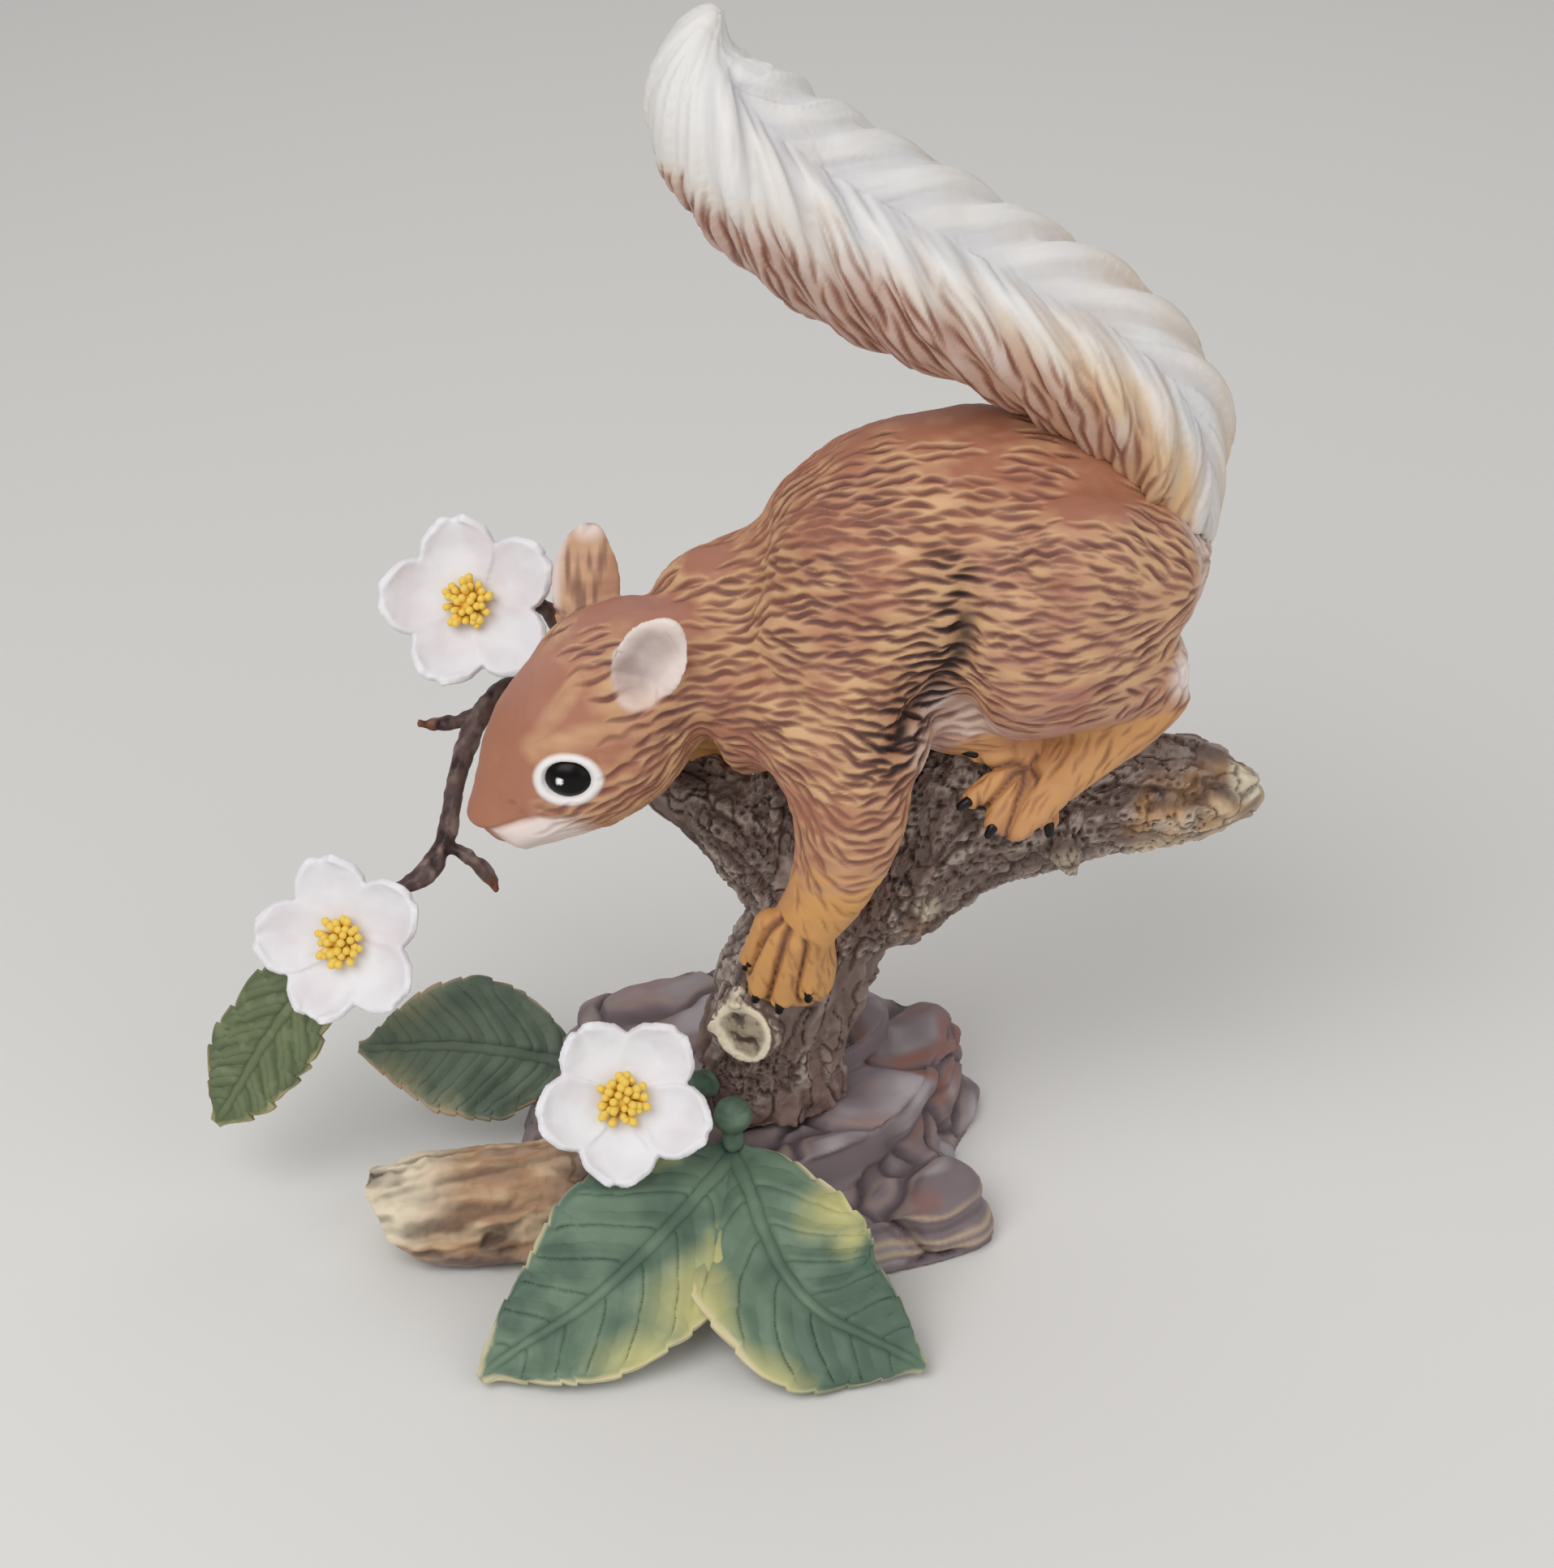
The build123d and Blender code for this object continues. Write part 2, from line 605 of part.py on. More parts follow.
# Bud on a short stalk above the front leaves
bud_centre = leaf_joint + upwards * (2.75 * bud_radius)
with BuildPart() as bud_form:
    with BuildSketch(Plane(origin=leaf_joint, z_dir=upwards)):
        Circle(stalk_radius)
    with BuildSketch(Plane(origin=bud_centre, z_dir=upwards)):
        Circle(0.6 * stalk_radius)
    loft()
    with BuildSketch(Plane(origin=bud_centre, x_dir=rightwards, z_dir=-backwards)):
        with BuildLine():
            CenterArc((0, 0), bud_radius, -90, 180)
            Line((0, bud_radius), (0, -bud_radius))
        make_face()
    revolve(axis=Axis(bud_centre, upwards))
with BuildPart() as leaf_bud:
    add(cut_back(bud_form.part, rock_mass.part, trunk_form, leaf_left_form, leaf_right_form))
save(leaf_bud, "leaf_bud")

# Metal twig: springs from the left branch, forks, and holds two blossoms and a leaf
main_way = places(left_tip, [
    (0.06, -0.03, -0.05), (-0.147, 0.015, 0.059), (-0.368, -0.088, 0.126), (-0.503, -0.206, -0.018),
    (-0.588, -0.324, -0.268), (-0.640, -0.441, -0.474), (-0.806, -0.559, -0.624), (-1.06, -0.64, -0.86),
], twig_reach)
upper_way = places(left_tip, [
    (-0.160, 0.010, 0.050), (-0.12, 0.0, 0.22), (-0.106, -0.03, 0.385),
    (-0.188, -0.06, 0.538), (-0.338, -0.05, 0.559), (-0.485, -0.065, 0.55),
], twig_reach)
short_spur_way = places(left_tip, [
    (-0.45, -0.155, 0.045), (-0.55, -0.18, 0.03), (-0.65, -0.21, 0.015), (-0.744, -0.235, 0.041),
], twig_reach)
low_spur_way = places(left_tip, [
    (-0.645, -0.44, -0.478), (-0.56, -0.46, -0.51), (-0.46, -0.49, -0.58), (-0.40, -0.50, -0.688),
], twig_reach)
main_radii = scaled([1.0, 1.0, 1.0, 1.05, 0.95, 1.05, 0.9, 0.7], twig_radius)
upper_radii = scaled([0.7, 0.9, 0.85, 0.85, 0.8, 0.7], twig_radius)
spur_radii = scaled([0.7, 0.9, 0.8, 0.45], spur_radius)
spur_side = Vector(0.3, 1, 0.2)
twig_limbs = [
    swollen(way, radii, radii, side)
    for way, radii, side in (
        (main_way, main_radii, upwards),
        (upper_way, upper_radii, spur_side),
        (short_spur_way, spur_radii, spur_side),
        (low_spur_way, spur_radii, spur_side),
    )
]
with BuildPart() as twig_form:
    for limb in twig_limbs:
        add(limb)

# Blossoms: five cupped petals round a core, with a bundle of stamens
petal_outline_shares = [
    (0.02, 0.10), (0.25, 0.27), (0.50, 0.43), (0.74, 0.50), (0.92, 0.37), (1.0, 0.15), (0.985, 0),
    (1.0, -0.15), (0.92, -0.37), (0.74, -0.50), (0.50, -0.43), (0.25, -0.27), (0.02, -0.10),
]
golden_turn = pi * (3 - sqrt(5))
petal_step = 360 / petal_count
dip_share = (0.6, 0.26)


def petal_form(centre, face, ahead):
    """Shape one petal: a slice of a shallow bowl, trimmed to the petal's outline."""
    aside = face.cross(ahead)
    start = ahead * cos(radians(petal_step / 2)) - aside * sin(radians(petal_step / 2))
    dip = (dip_share[0] * petal_length, dip_share[1] * cup_depth)
    with BuildPart() as petal:
        with BuildSketch(Plane(origin=centre, x_dir=start, z_dir=start.cross(face))):
            with BuildLine():
                ThreePointArc((core_radius, 0), dip, (petal_length, cup_depth))
                Line((petal_length, cup_depth), (petal_length, cup_depth + petal_thickness))
                ThreePointArc(
                    (petal_length, cup_depth + petal_thickness),
                    (dip[0], dip[1] + petal_thickness),
                    (core_radius, petal_thickness),
                )
                Line((core_radius, petal_thickness), (core_radius, 0))
            make_face()
        revolve(axis=Axis(centre, face), revolution_arc=petal_step)
        with BuildSketch(Plane(origin=centre, x_dir=ahead, z_dir=face)):
            with BuildLine():
                Spline(*[(x * petal_length, y * petal_width) for x, y in petal_outline_shares], periodic=True)
            make_face()
        extrude(amount=2 * cup_depth, both=True, mode=Mode.INTERSECT)
    return petal.part


def core_form(centre, face):
    """Shape the small plug that the petals are set round."""
    with BuildPart() as core:
        with BuildSketch(Plane(origin=centre - face * core_height, z_dir=face)):
            Circle(0.6 * core_radius)
        with BuildSketch(Plane(origin=centre, z_dir=face)):
            Circle(core_radius)
        loft()
        with BuildSketch(Plane(origin=centre, z_dir=face)):
            Circle(core_radius)
        extrude(amount=petal_thickness)
    return core.part


def stamen_bundle(centre, face, right, above):
    """Stand the stamens on a thin disc, each at the golden angle from the last and leaning out."""
    disc_top = centre + face * (petal_thickness + filament_radius)
    lean = 0.85 * core_radius
    stems = []
    for index in range(stamen_count):
        angle = golden_turn * index
        out = sqrt((index + 0.5) / stamen_count)
        ray = right * cos(angle) + above * sin(angle)
        stem = (ray * (lean * out) + face * stamen_length).normalized()
        stems.append((disc_top + ray * (0.8 * core_radius * out), stem))
    with BuildPart() as bundle:
        with BuildSketch(Plane(origin=disc_top, z_dir=face)):
            Circle(0.95 * core_radius)
        extrude(amount=-filament_radius)
        for foot, stem in stems:
            with BuildSketch(Plane(origin=foot, z_dir=stem)):
                Circle(filament_radius)
        extrude(amount=stamen_length)
        for foot, stem in stems:
            with BuildSketch(Plane(origin=foot + stem * stamen_length, z_dir=stem)):
                Circle(anther_radius)
        extrude(amount=anther_length / 2, both=True)
    return bundle.part


high_face = Vector(-0.05, -0.87, 0.49).normalized()
low_face = Vector(-0.16, -0.86, 0.48).normalized()
ground_face = Vector(0.10, -0.84, 0.53).normalized()
high_centre = upper_way[-1] + high_face * core_height
low_centre = main_way[-1] + low_face * core_height
ground_centre = trunk_foot + Vector(-0.322 * rock_width, -0.37 * rock_depth, 1.40 * rock_height)
core_forms = []
for number, centre, face, turn in (
    (1, high_centre, high_face, 102),
    (2, low_centre, low_face, 103),
    (3, ground_centre, ground_face, 122),
):
    right = (rightwards - face * rightwards.dot(face)).normalized()
    above = face.cross(right)
    for index in range(petal_count):
        angle = radians(turn + petal_step * index)
        with BuildPart() as petal:
            add(petal_form(centre, face, right * cos(angle) + above * sin(angle)))
        save(petal, f"petal_{number}_{index + 1}")
    with BuildPart() as core:
        add(core_form(centre, face))
    save(core, f"core_{number}")
    core_forms.append(core.part)
    with BuildPart() as stamens:
        add(stamen_bundle(centre, face, right, above))
    save(stamens, f"stamens_{number}")

with BuildPart() as twig:
    add(cut_back(twig_form.part, left_form, core_forms[0], core_forms[1]))
save(twig, "twig")

# Leaf below the lower blossom
twig_leaf_root = main_way[-1]
twig_leaf_tip = twig_leaf_root + Vector(-0.68, -0.12, -0.95) * twig_leaf_length
twig_leaf_form = pressed_leaf(
    route(twig_leaf_root, twig_leaf_tip, plain_leaf_way_shares),
    leaf_outline_shares,
    twig_leaf_width,
    Vector(0.652, -0.396, -0.528),
)
with BuildPart() as leaf_twig:
    add(cut_back(twig_leaf_form, twig_form.part, core_forms[1]))
save(leaf_twig, "leaf_twig")

# Short stalk that holds the third blossom off the trunk
stalk_foot = trunk_foot + Vector(-0.9 * trunk_radius, -0.5 * trunk_radius, 0.95 * rock_height)
stalk_radii = scaled([1.2, 1.0, 0.8, 0.7], stalk_radius)
stalk_form = swollen(
    route(stalk_foot, ground_centre - ground_face * core_height, [
        (0, 0, 0, 0), (0.3, 0, 0, 0.02), (0.7, 0, 0, 0.02), (1, 0, 0, 0),
    ]),
    stalk_radii,
    stalk_radii,
    rightwards,
)
with BuildPart() as blossom_stalk:
    add(cut_back(stalk_form, trunk_form, rock_mass.part, core_forms[2], leaf_left_form))
save(blossom_stalk, "blossom_stalk")
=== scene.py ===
"""Mould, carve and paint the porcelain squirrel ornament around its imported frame.

Sizes and places inside the classes are in millimetres. They become metres when a mesh is written.
"""

import logging
import math
from collections.abc import Iterator
from contextlib import contextmanager
from dataclasses import dataclass, field
from enum import Enum
from itertools import product

import bpy
import numpy as np
from mathutils import Matrix, Vector
from mathutils.kdtree import KDTree


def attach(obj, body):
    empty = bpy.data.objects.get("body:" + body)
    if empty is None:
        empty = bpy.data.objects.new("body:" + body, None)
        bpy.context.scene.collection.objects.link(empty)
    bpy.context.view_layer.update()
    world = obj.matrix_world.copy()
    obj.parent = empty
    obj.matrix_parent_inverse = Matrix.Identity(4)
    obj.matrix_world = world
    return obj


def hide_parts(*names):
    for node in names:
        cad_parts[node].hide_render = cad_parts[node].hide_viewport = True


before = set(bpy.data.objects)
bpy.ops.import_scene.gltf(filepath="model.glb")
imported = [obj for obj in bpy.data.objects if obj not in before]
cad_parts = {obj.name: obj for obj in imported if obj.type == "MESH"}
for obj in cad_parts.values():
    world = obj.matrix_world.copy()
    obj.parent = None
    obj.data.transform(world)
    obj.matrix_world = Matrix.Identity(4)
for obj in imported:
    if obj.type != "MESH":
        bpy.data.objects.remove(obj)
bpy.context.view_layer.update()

log = logging.getLogger("ornament")
MM = 0.001
MM_IN_A_METRE = 1000
WELD = 1e-6
RELAX_FACTOR = 0.5
OUT_OF_REACH = 9.0
ROWS_AT_ONCE = 20000
STEPS_PER_SPAN = 24
ANIMAL_MIDDLE = 2.0
HASH_STEPS = (73856093, 19349663, 83492791)
SEED_STEP = 40503
HASH_MIXER = 1274126177
Triple = tuple[float, float, float]


class Mask(str, Enum):
    """Names of the painted masks that a piece carries on its vertices."""

    GROOVE = "groove"
    RIDGE = "ridge"
    WARM = "warm"
    PALE = "pale"
    DEEP = "deep"
    EDGE = "edge"
    ROSE = "rose"


def smooth_step(low: float, high: float, values: np.ndarray) -> np.ndarray:
    """Ease from 0 at `low` to 1 at `high`."""
    share = np.clip((values - low) / (high - low), 0, 1)
    return share * share * (3 - 2 * share)


def bell(values: np.ndarray, centre: float | np.ndarray, width: float | np.ndarray) -> np.ndarray:
    """Rise from 0 to 1 at `centre` and fall off again, over about `width` on each side."""
    return np.exp(-((values - centre) / width) ** 2)


def hashed(cells: np.ndarray, seed: int) -> np.ndarray:
    """Give a steady number from 0 to 1 for each row of three whole numbers."""
    mixed = sum(cells[..., axis] * step for axis, step in enumerate(HASH_STEPS)) + seed * SEED_STEP
    mixed = (mixed ^ (mixed >> 13)) * HASH_MIXER
    return ((mixed ^ (mixed >> 16)) & 0xFFFF) / 0xFFFF


def ripple(places: np.ndarray, size: float | np.ndarray, seed: int) -> np.ndarray:
    """Smooth random waves of about `size`, from -1 to 1.

    Args:
        places: Points, one row each.
        size: Width of a wave, or one width for each axis.
        seed: Picks the pattern.

    Returns:
        One value for each point.
    """
    scaled = places / size
    low = np.floor(scaled).astype(np.int64)
    part = scaled - low
    part = part**3 * (part * (part * 6 - 15) + 10)
    total = np.zeros(len(places))
    for corner in product((0, 1), repeat=3):
        weight = np.prod(np.where(corner, part, 1 - part), axis=-1)
        total += weight * hashed(low + np.array(corner), seed)
    return 2 * total - 1


def rough(places: np.ndarray, size: float | np.ndarray, seed: int, layers: int = 3) -> np.ndarray:
    """Add up ripples, each layer half as wide and half as strong as the last."""
    return sum(ripple(places, size / 2**layer, seed + layer) / 2**layer for layer in range(layers))


def cells(places: np.ndarray, size: float | np.ndarray, seed: int) -> tuple[np.ndarray, np.ndarray]:
    """Measure how far points lie from scattered centres.

    Args:
        places: Points, one row each.
        size: Spacing of the centres, or one spacing for each axis.
        seed: Picks the scatter.

    Returns:
        The distances to the nearest and the second nearest centre, as shares of `size`.
    """
    scaled = places / size
    low = np.floor(scaled).astype(np.int64)
    first = np.full(len(places), OUT_OF_REACH)
    second = np.full(len(places), OUT_OF_REACH)
    for offset in product((-1, 0, 1), repeat=3):
        cell = low + np.array(offset)
        centre = cell + np.stack([hashed(cell, seed + axis) for axis in range(3)], axis=-1)
        gap = np.linalg.norm(scaled - centre, axis=-1)
        second = np.minimum(second, np.maximum(gap, first))
        first = np.minimum(first, gap)
    return first, second


def unit(rows: np.ndarray) -> np.ndarray:
    """Bring each row to length 1."""
    return rows / np.maximum(np.linalg.norm(rows, axis=-1, keepdims=True), 1e-9)


def select_only(*pieces: bpy.types.Object) -> None:
    """Select these pieces and nothing else, the last one active."""
    bpy.ops.object.select_all(action="DESELECT")
    for piece in pieces:
        piece.select_set(True)
    bpy.context.view_layer.objects.active = pieces[-1]


@contextmanager
def editing(piece: bpy.types.Object) -> Iterator[None]:
    """Open a piece for editing with its whole mesh selected."""
    select_only(piece)
    bpy.ops.object.mode_set(mode="EDIT")
    bpy.ops.mesh.select_all(action="SELECT")
    yield
    bpy.ops.object.mode_set(mode="OBJECT")


def modify(piece: bpy.types.Object, kind: str, **settings: object) -> None:
    """Add a modifier to a piece, set it and apply it."""
    modifier = piece.modifiers.new(kind.lower(), kind)
    for name, value in settings.items():
        setattr(modifier, name, value)
    select_only(piece)
    bpy.ops.object.modifier_apply(modifier=modifier.name)


def remesh(piece: bpy.types.Object, grain: float) -> None:
    """Rebuild a piece's skin from cubes of this width."""
    modify(piece, "REMESH", mode="VOXEL", voxel_size=grain * MM)


def relax(piece: bpy.types.Object, rounds: int, **settings: object) -> None:
    """Even out a piece's skin."""
    modify(piece, "SMOOTH", factor=RELAX_FACTOR, iterations=rounds, **settings)


def weigh(piece: bpy.types.Object, name: str, weights: np.ndarray, least: float = 0.0) -> None:
    """Keep the weights above the least one as a vertex group."""
    group = piece.vertex_groups.new(name=name)
    for index in np.flatnonzero(weights > least):
        group.add([int(index)], float(weights[index]), "REPLACE")


def twin(piece: bpy.types.Object, name: str) -> bpy.types.Object:
    """Copy a piece together with its mesh."""
    other = piece.copy()
    other.data = piece.data.copy()
    other.name = name
    other.data.name = name
    bpy.context.scene.collection.objects.link(other)
    return other


def joined(name: str, pieces: list[bpy.types.Object]) -> bpy.types.Object:
    """Join pieces into one with this name."""
    select_only(*pieces)
    if len(pieces) > 1:
        bpy.ops.object.join()
    piece = bpy.context.view_layer.objects.active
    piece.name = name
    piece.data.name = name
    return piece


def copied(name: str, nodes: tuple[str, ...]) -> bpy.types.Object:
    """Copy CAD nodes into one new piece and weld their loose triangles."""
    copies = []
    for node in nodes:
        copy = bpy.data.objects.new(name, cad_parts[node].data.copy())
        copy.data.materials.clear()
        bpy.context.scene.collection.objects.link(copy)
        copies.append(copy)
    piece = joined(name, copies)
    with editing(piece):
        bpy.ops.mesh.remove_doubles(threshold=WELD)
        bpy.ops.mesh.customdata_custom_splitnormals_clear()
    return piece


def outer_shell(piece: bpy.types.Object) -> bpy.types.Object:
    """Keep only the largest loose part of a piece: its outer skin."""
    name = piece.name
    with editing(piece):
        bpy.ops.mesh.separate(type="LOOSE")
    parts = sorted(bpy.context.selected_objects, key=lambda part: len(part.data.vertices))
    for part in parts[:-1]:
        bpy.data.objects.remove(part)
    parts[-1].name = name
    return parts[-1]


def drop(name: str, start: np.ndarray, end: np.ndarray, start_radius: float, end_radius: float,
         rings: int = 12) -> bpy.types.Object:
    """Stretch a ball into a drop between two points.

    Args:
        name: Name of the new piece.
        start: Centre of the first round end.
        end: Centre of the last round end.
        start_radius: Radius at the start.
        end_radius: Radius at the end.
        rings: How finely the ball is divided.

    Returns:
        The new piece.
    """
    bpy.ops.mesh.primitive_uv_sphere_add(segments=2 * rings, ring_count=rings, radius=1)
    piece = bpy.context.view_layer.objects.active
    piece.name = name
    skin = Skin(piece)
    ball = skin.places / MM_IN_A_METRE
    way = np.asarray(end, float) - np.asarray(start, float)
    turn = np.array(Vector((0, 0, 1)).rotation_difference(Vector(way)).to_matrix())
    share = (ball[:, 2:] > 0).astype(float)
    radius = start_radius + (end_radius - start_radius) * share
    skin.places = np.asarray(start, float) + share * way + (ball * radius) @ turn.T
    skin.write()
    return piece


class Skin:
    """The vertices of a piece, read in millimetres, that tools move and paint."""

    def __init__(self, piece: bpy.types.Object) -> None:
        """Read the piece's vertices."""
        self.piece = piece
        self.places = np.empty((0, 3))
        self.normals = np.empty((0, 3))
        self.read()

    def read(self) -> None:
        """Take the places and normals from the mesh."""
        mesh = self.piece.data
        flat = np.empty(len(mesh.vertices) * 3, np.float32)
        mesh.vertices.foreach_get("co", flat)
        self.places = flat.reshape(-1, 3).astype(float) / MM
        mesh.vertex_normals.foreach_get("vector", flat)
        self.normals = flat.reshape(-1, 3).astype(float)

    def write(self) -> None:
        """Put the places back into the mesh and read the new normals."""
        self.piece.data.vertices.foreach_set("co", (self.places * MM).astype(np.float32).ravel())
        self.piece.data.update()
        self.read()

    def raise_by(self, heights: np.ndarray) -> None:
        """Move each vertex along its normal."""
        self.places += self.normals * heights[:, None]
        self.write()

    def paint(self, mask: Mask, values: np.ndarray) -> None:
        """Keep one mask on the vertices."""
        mesh = self.piece.data
        layer = mesh.attributes.get(mask.value) or mesh.attributes.new(mask.value, "FLOAT", "POINT")
        layer.data.foreach_set("value", np.clip(values, 0, 1).astype(np.float32))

    def gap(self, points: np.ndarray | list[Triple]) -> np.ndarray:
        """Measure how far each vertex lies from a line through the points."""
        line = np.asarray(points, float).reshape(-1, 3)
        gap = np.linalg.norm(self.places - line[0], axis=1)
        for start, end in zip(line[:-1], line[1:]):
            way = end - start
            share = np.clip((self.places - start) @ way / (way @ way), 0, 1)
            gap = np.minimum(gap, np.linalg.norm(self.places - start - share[:, None] * way, axis=1))
        return gap

    def near(self, points: np.ndarray | list[Triple], reach: float, fade: float) -> np.ndarray:
        """Give 1 within `reach` of a line through the points, fading to 0 over `fade`."""
        return 1 - smooth_step(reach, reach + fade, self.gap(points))


@dataclass(frozen=True)
class Graver:
    """A tool that scores short tapered grooves, each along the lie of the coat.

    Attributes:
        length: Length of a groove.
        width: Half its width.
        gap: Distance between neighbouring rows.
        wave: How far a groove sways to each side.
        seed: Picks the order and the sway of the grooves.
        crowd: About how many vertices one groove claims.
        facing: How alike two normals are, as a cosine, where a groove runs on.
        claim: Share of half its length over which a groove keeps others away.
    """

    length: float
    width: float
    gap: float
    wave: float
    seed: int
    crowd: float = 60.0
    facing: float = 0.25
    claim: float = 0.75

    def score(self, skin: Skin, flow: np.ndarray, density: np.ndarray) -> np.ndarray:
        """Score grooves over a skin.

        Args:
            skin: The surface.
            flow: Direction of the coat at each vertex.
            density: Share of the grooves that is wanted at each vertex, 0 to 1.

        Returns:
            How deep each vertex lies in a groove, 0 to 1.
        """
        dice = np.random.default_rng(self.seed)
        tree = KDTree(len(skin.places))
        for index, place in enumerate(skin.places):
            tree.insert(place, index)
        tree.balance()
        along_all = unit(flow - skin.normals * np.sum(flow * skin.normals, axis=1)[:, None])
        depth = np.zeros(len(skin.places))
        taken = np.zeros(len(skin.places), bool)
        wanted = np.flatnonzero(density > 0.02)
        chance = 1 - (1 - np.clip(density, 0, 0.995)) ** (1 / self.crowd)
        for seed in dice.permutation(wanted):
            if taken[seed] or dice.random() > chance[seed]:
                taken[seed] = True
                continue
            half = self.length * dice.uniform(0.35, 0.62)
            found = np.array([item[1] for item in tree.find_range(skin.places[seed], half * 1.05)])
            found = found[skin.normals[found] @ skin.normals[seed] > self.facing]
            offset = skin.places[found] - skin.places[seed]
            way = along_all[seed]
            side = np.cross(skin.normals[seed], way)
            along = offset @ way
            across = offset @ side
            pace = dice.uniform(0.7, 1.4)
            start = dice.uniform(0, math.tau)
            sway = self.wave * np.sin(along * (math.tau / self.length) * pace + start)
            bend = dice.uniform(-0.012, 0.012) * along**2
            off_line = np.abs(across - sway - bend)
            taper = np.clip(1 - (along / half) ** 2, 0, 1)
            cut = taper**0.7 * np.clip(1 - (off_line / (self.width * (0.5 + taper))) ** 2, 0, 1)
            depth[found] = np.maximum(depth[found], cut * dice.uniform(0.7, 1))
            taken[found[(np.abs(along) < half * self.claim) & (off_line < self.gap)]] = True
        return depth


def hex_colour(code: str) -> tuple[float, float, float, float]:
    """Turn a colour as a screen shows it into a linear colour."""
    parts = [int(code[start:start + 2], 16) / 255 for start in (1, 3, 5)]
    linear = [part / 12.92 if part <= 0.04045 else ((part + 0.055) / 1.055) ** 2.4 for part in parts]
    return (*linear, 1.0)


class ShaderGroups:
    """The effects that several materials share, each built once."""

    built: dict[str, bpy.types.NodeTree] = {}

    @classmethod
    def start(cls, name: str, inputs: dict[str, tuple[str, object]],
              outputs: dict[str, str]) -> bpy.types.NodeTree:
        """Make an empty group with named sockets."""
        group = bpy.data.node_groups.new(name, "ShaderNodeTree")
        for socket, (kind, value) in inputs.items():
            group.interface.new_socket(socket, in_out="INPUT", socket_type=kind).default_value = value
        for socket, kind in outputs.items():
            group.interface.new_socket(socket, in_out="OUTPUT", socket_type=kind)
        cls.built[name] = group
        return group

    @classmethod
    def coat(cls) -> bpy.types.NodeTree:
        """A coat of paint over another, its edge broken up as a dry brush leaves it."""
        if "paint_coat" in cls.built:
            return cls.built["paint_coat"]
        group = cls.start(
            "paint_coat",
            {
                "Under": ("NodeSocketColor", (0.5, 0.5, 0.5, 1)),
                "Coat": ("NodeSocketColor", (0.5, 0.5, 0.5, 1)),
                "Mask": ("NodeSocketFloat", 0.0),
                "Brush": ("NodeSocketFloat", 400.0),
                "Ragged": ("NodeSocketFloat", 0.2),
                "Cover": ("NodeSocketFloat", 1.0),
            },
            {"Colour": "NodeSocketColor"},
        )
        nodes, links = group.nodes, group.links
        given = nodes.new("NodeGroupInput")
        given_out = nodes.new("NodeGroupOutput")
        where = nodes.new("ShaderNodeTexCoord")
        bristles = nodes.new("ShaderNodeTexNoise")
        bristles.inputs["Detail"].default_value = 3
        links.new(where.outputs["Object"], bristles.inputs["Vector"])
        links.new(given.outputs["Brush"], bristles.inputs["Scale"])
        centred = cls.maths(group, "SUBTRACT", bristles.outputs["Fac"], 0.5)
        spread = cls.maths(group, "MULTIPLY", centred, given.outputs["Ragged"])
        broken = cls.maths(group, "ADD", given.outputs["Mask"], spread)
        inside = cls.maths(group, "MULTIPLY", given.outputs["Mask"], 8.0, clamp=True)
        held = cls.maths(group, "MULTIPLY", broken, inside, clamp=True)
        covered = cls.maths(group, "MULTIPLY", held, given.outputs["Cover"], clamp=True)
        mix = nodes.new("ShaderNodeMix")
        mix.data_type = "RGBA"
        links.new(covered, mix.inputs["Factor"])
        links.new(given.outputs["Under"], mix.inputs["A"])
        links.new(given.outputs["Coat"], mix.inputs["B"])
        links.new(mix.outputs["Result"], given_out.inputs["Colour"])
        return group

    @classmethod
    def grain(cls) -> bpy.types.NodeTree:
        """The fine tooth of unglazed clay: a height for the bump and a faint mottle."""
        if "clay_grain" in cls.built:
            return cls.built["clay_grain"]
        group = cls.start(
            "clay_grain",
            {
                "Colour": ("NodeSocketColor", (0.5, 0.5, 0.5, 1)),
                "Mottle": ("NodeSocketFloat", 0.1),
                "Tooth": ("NodeSocketFloat", 3000.0),
            },
            {"Colour": "NodeSocketColor", "Height": "NodeSocketFloat"},
        )
        nodes, links = group.nodes, group.links
        given = nodes.new("NodeGroupInput")
        given_out = nodes.new("NodeGroupOutput")
        where = nodes.new("ShaderNodeTexCoord")
        tooth = nodes.new("ShaderNodeTexNoise")
        tooth.inputs["Detail"].default_value = 2
        links.new(where.outputs["Object"], tooth.inputs["Vector"])
        links.new(given.outputs["Tooth"], tooth.inputs["Scale"])
        cloud = nodes.new("ShaderNodeTexNoise")
        cloud.inputs["Detail"].default_value = 4
        cloud.inputs["Scale"].default_value = 160
        links.new(where.outputs["Object"], cloud.inputs["Vector"])
        centred = cls.maths(group, "SUBTRACT", cloud.outputs["Fac"], 0.5)
        swing = cls.maths(group, "MULTIPLY", centred, given.outputs["Mottle"])
        gain = cls.maths(group, "ADD", swing, 1.0)
        scale = nodes.new("ShaderNodeVectorMath")
        scale.operation = "SCALE"
        links.new(given.outputs["Colour"], scale.inputs[0])
        links.new(gain, scale.inputs["Scale"])
        links.new(scale.outputs["Vector"], given_out.inputs["Colour"])
        links.new(tooth.outputs["Fac"], given_out.inputs["Height"])
        return group

    @staticmethod
    def maths(group: bpy.types.NodeTree, operation: str, first: object, second: object,
              clamp: bool = False) -> bpy.types.NodeSocket:
        """Join two values by a Math node and give its output."""
        node = group.nodes.new("ShaderNodeMath")
        node.operation = operation
        node.use_clamp = clamp
        for index, value in enumerate((first, second)):
            if isinstance(value, float):
                node.inputs[index].default_value = value
            else:
                group.links.new(value, node.inputs[index])
        return node.outputs[0]


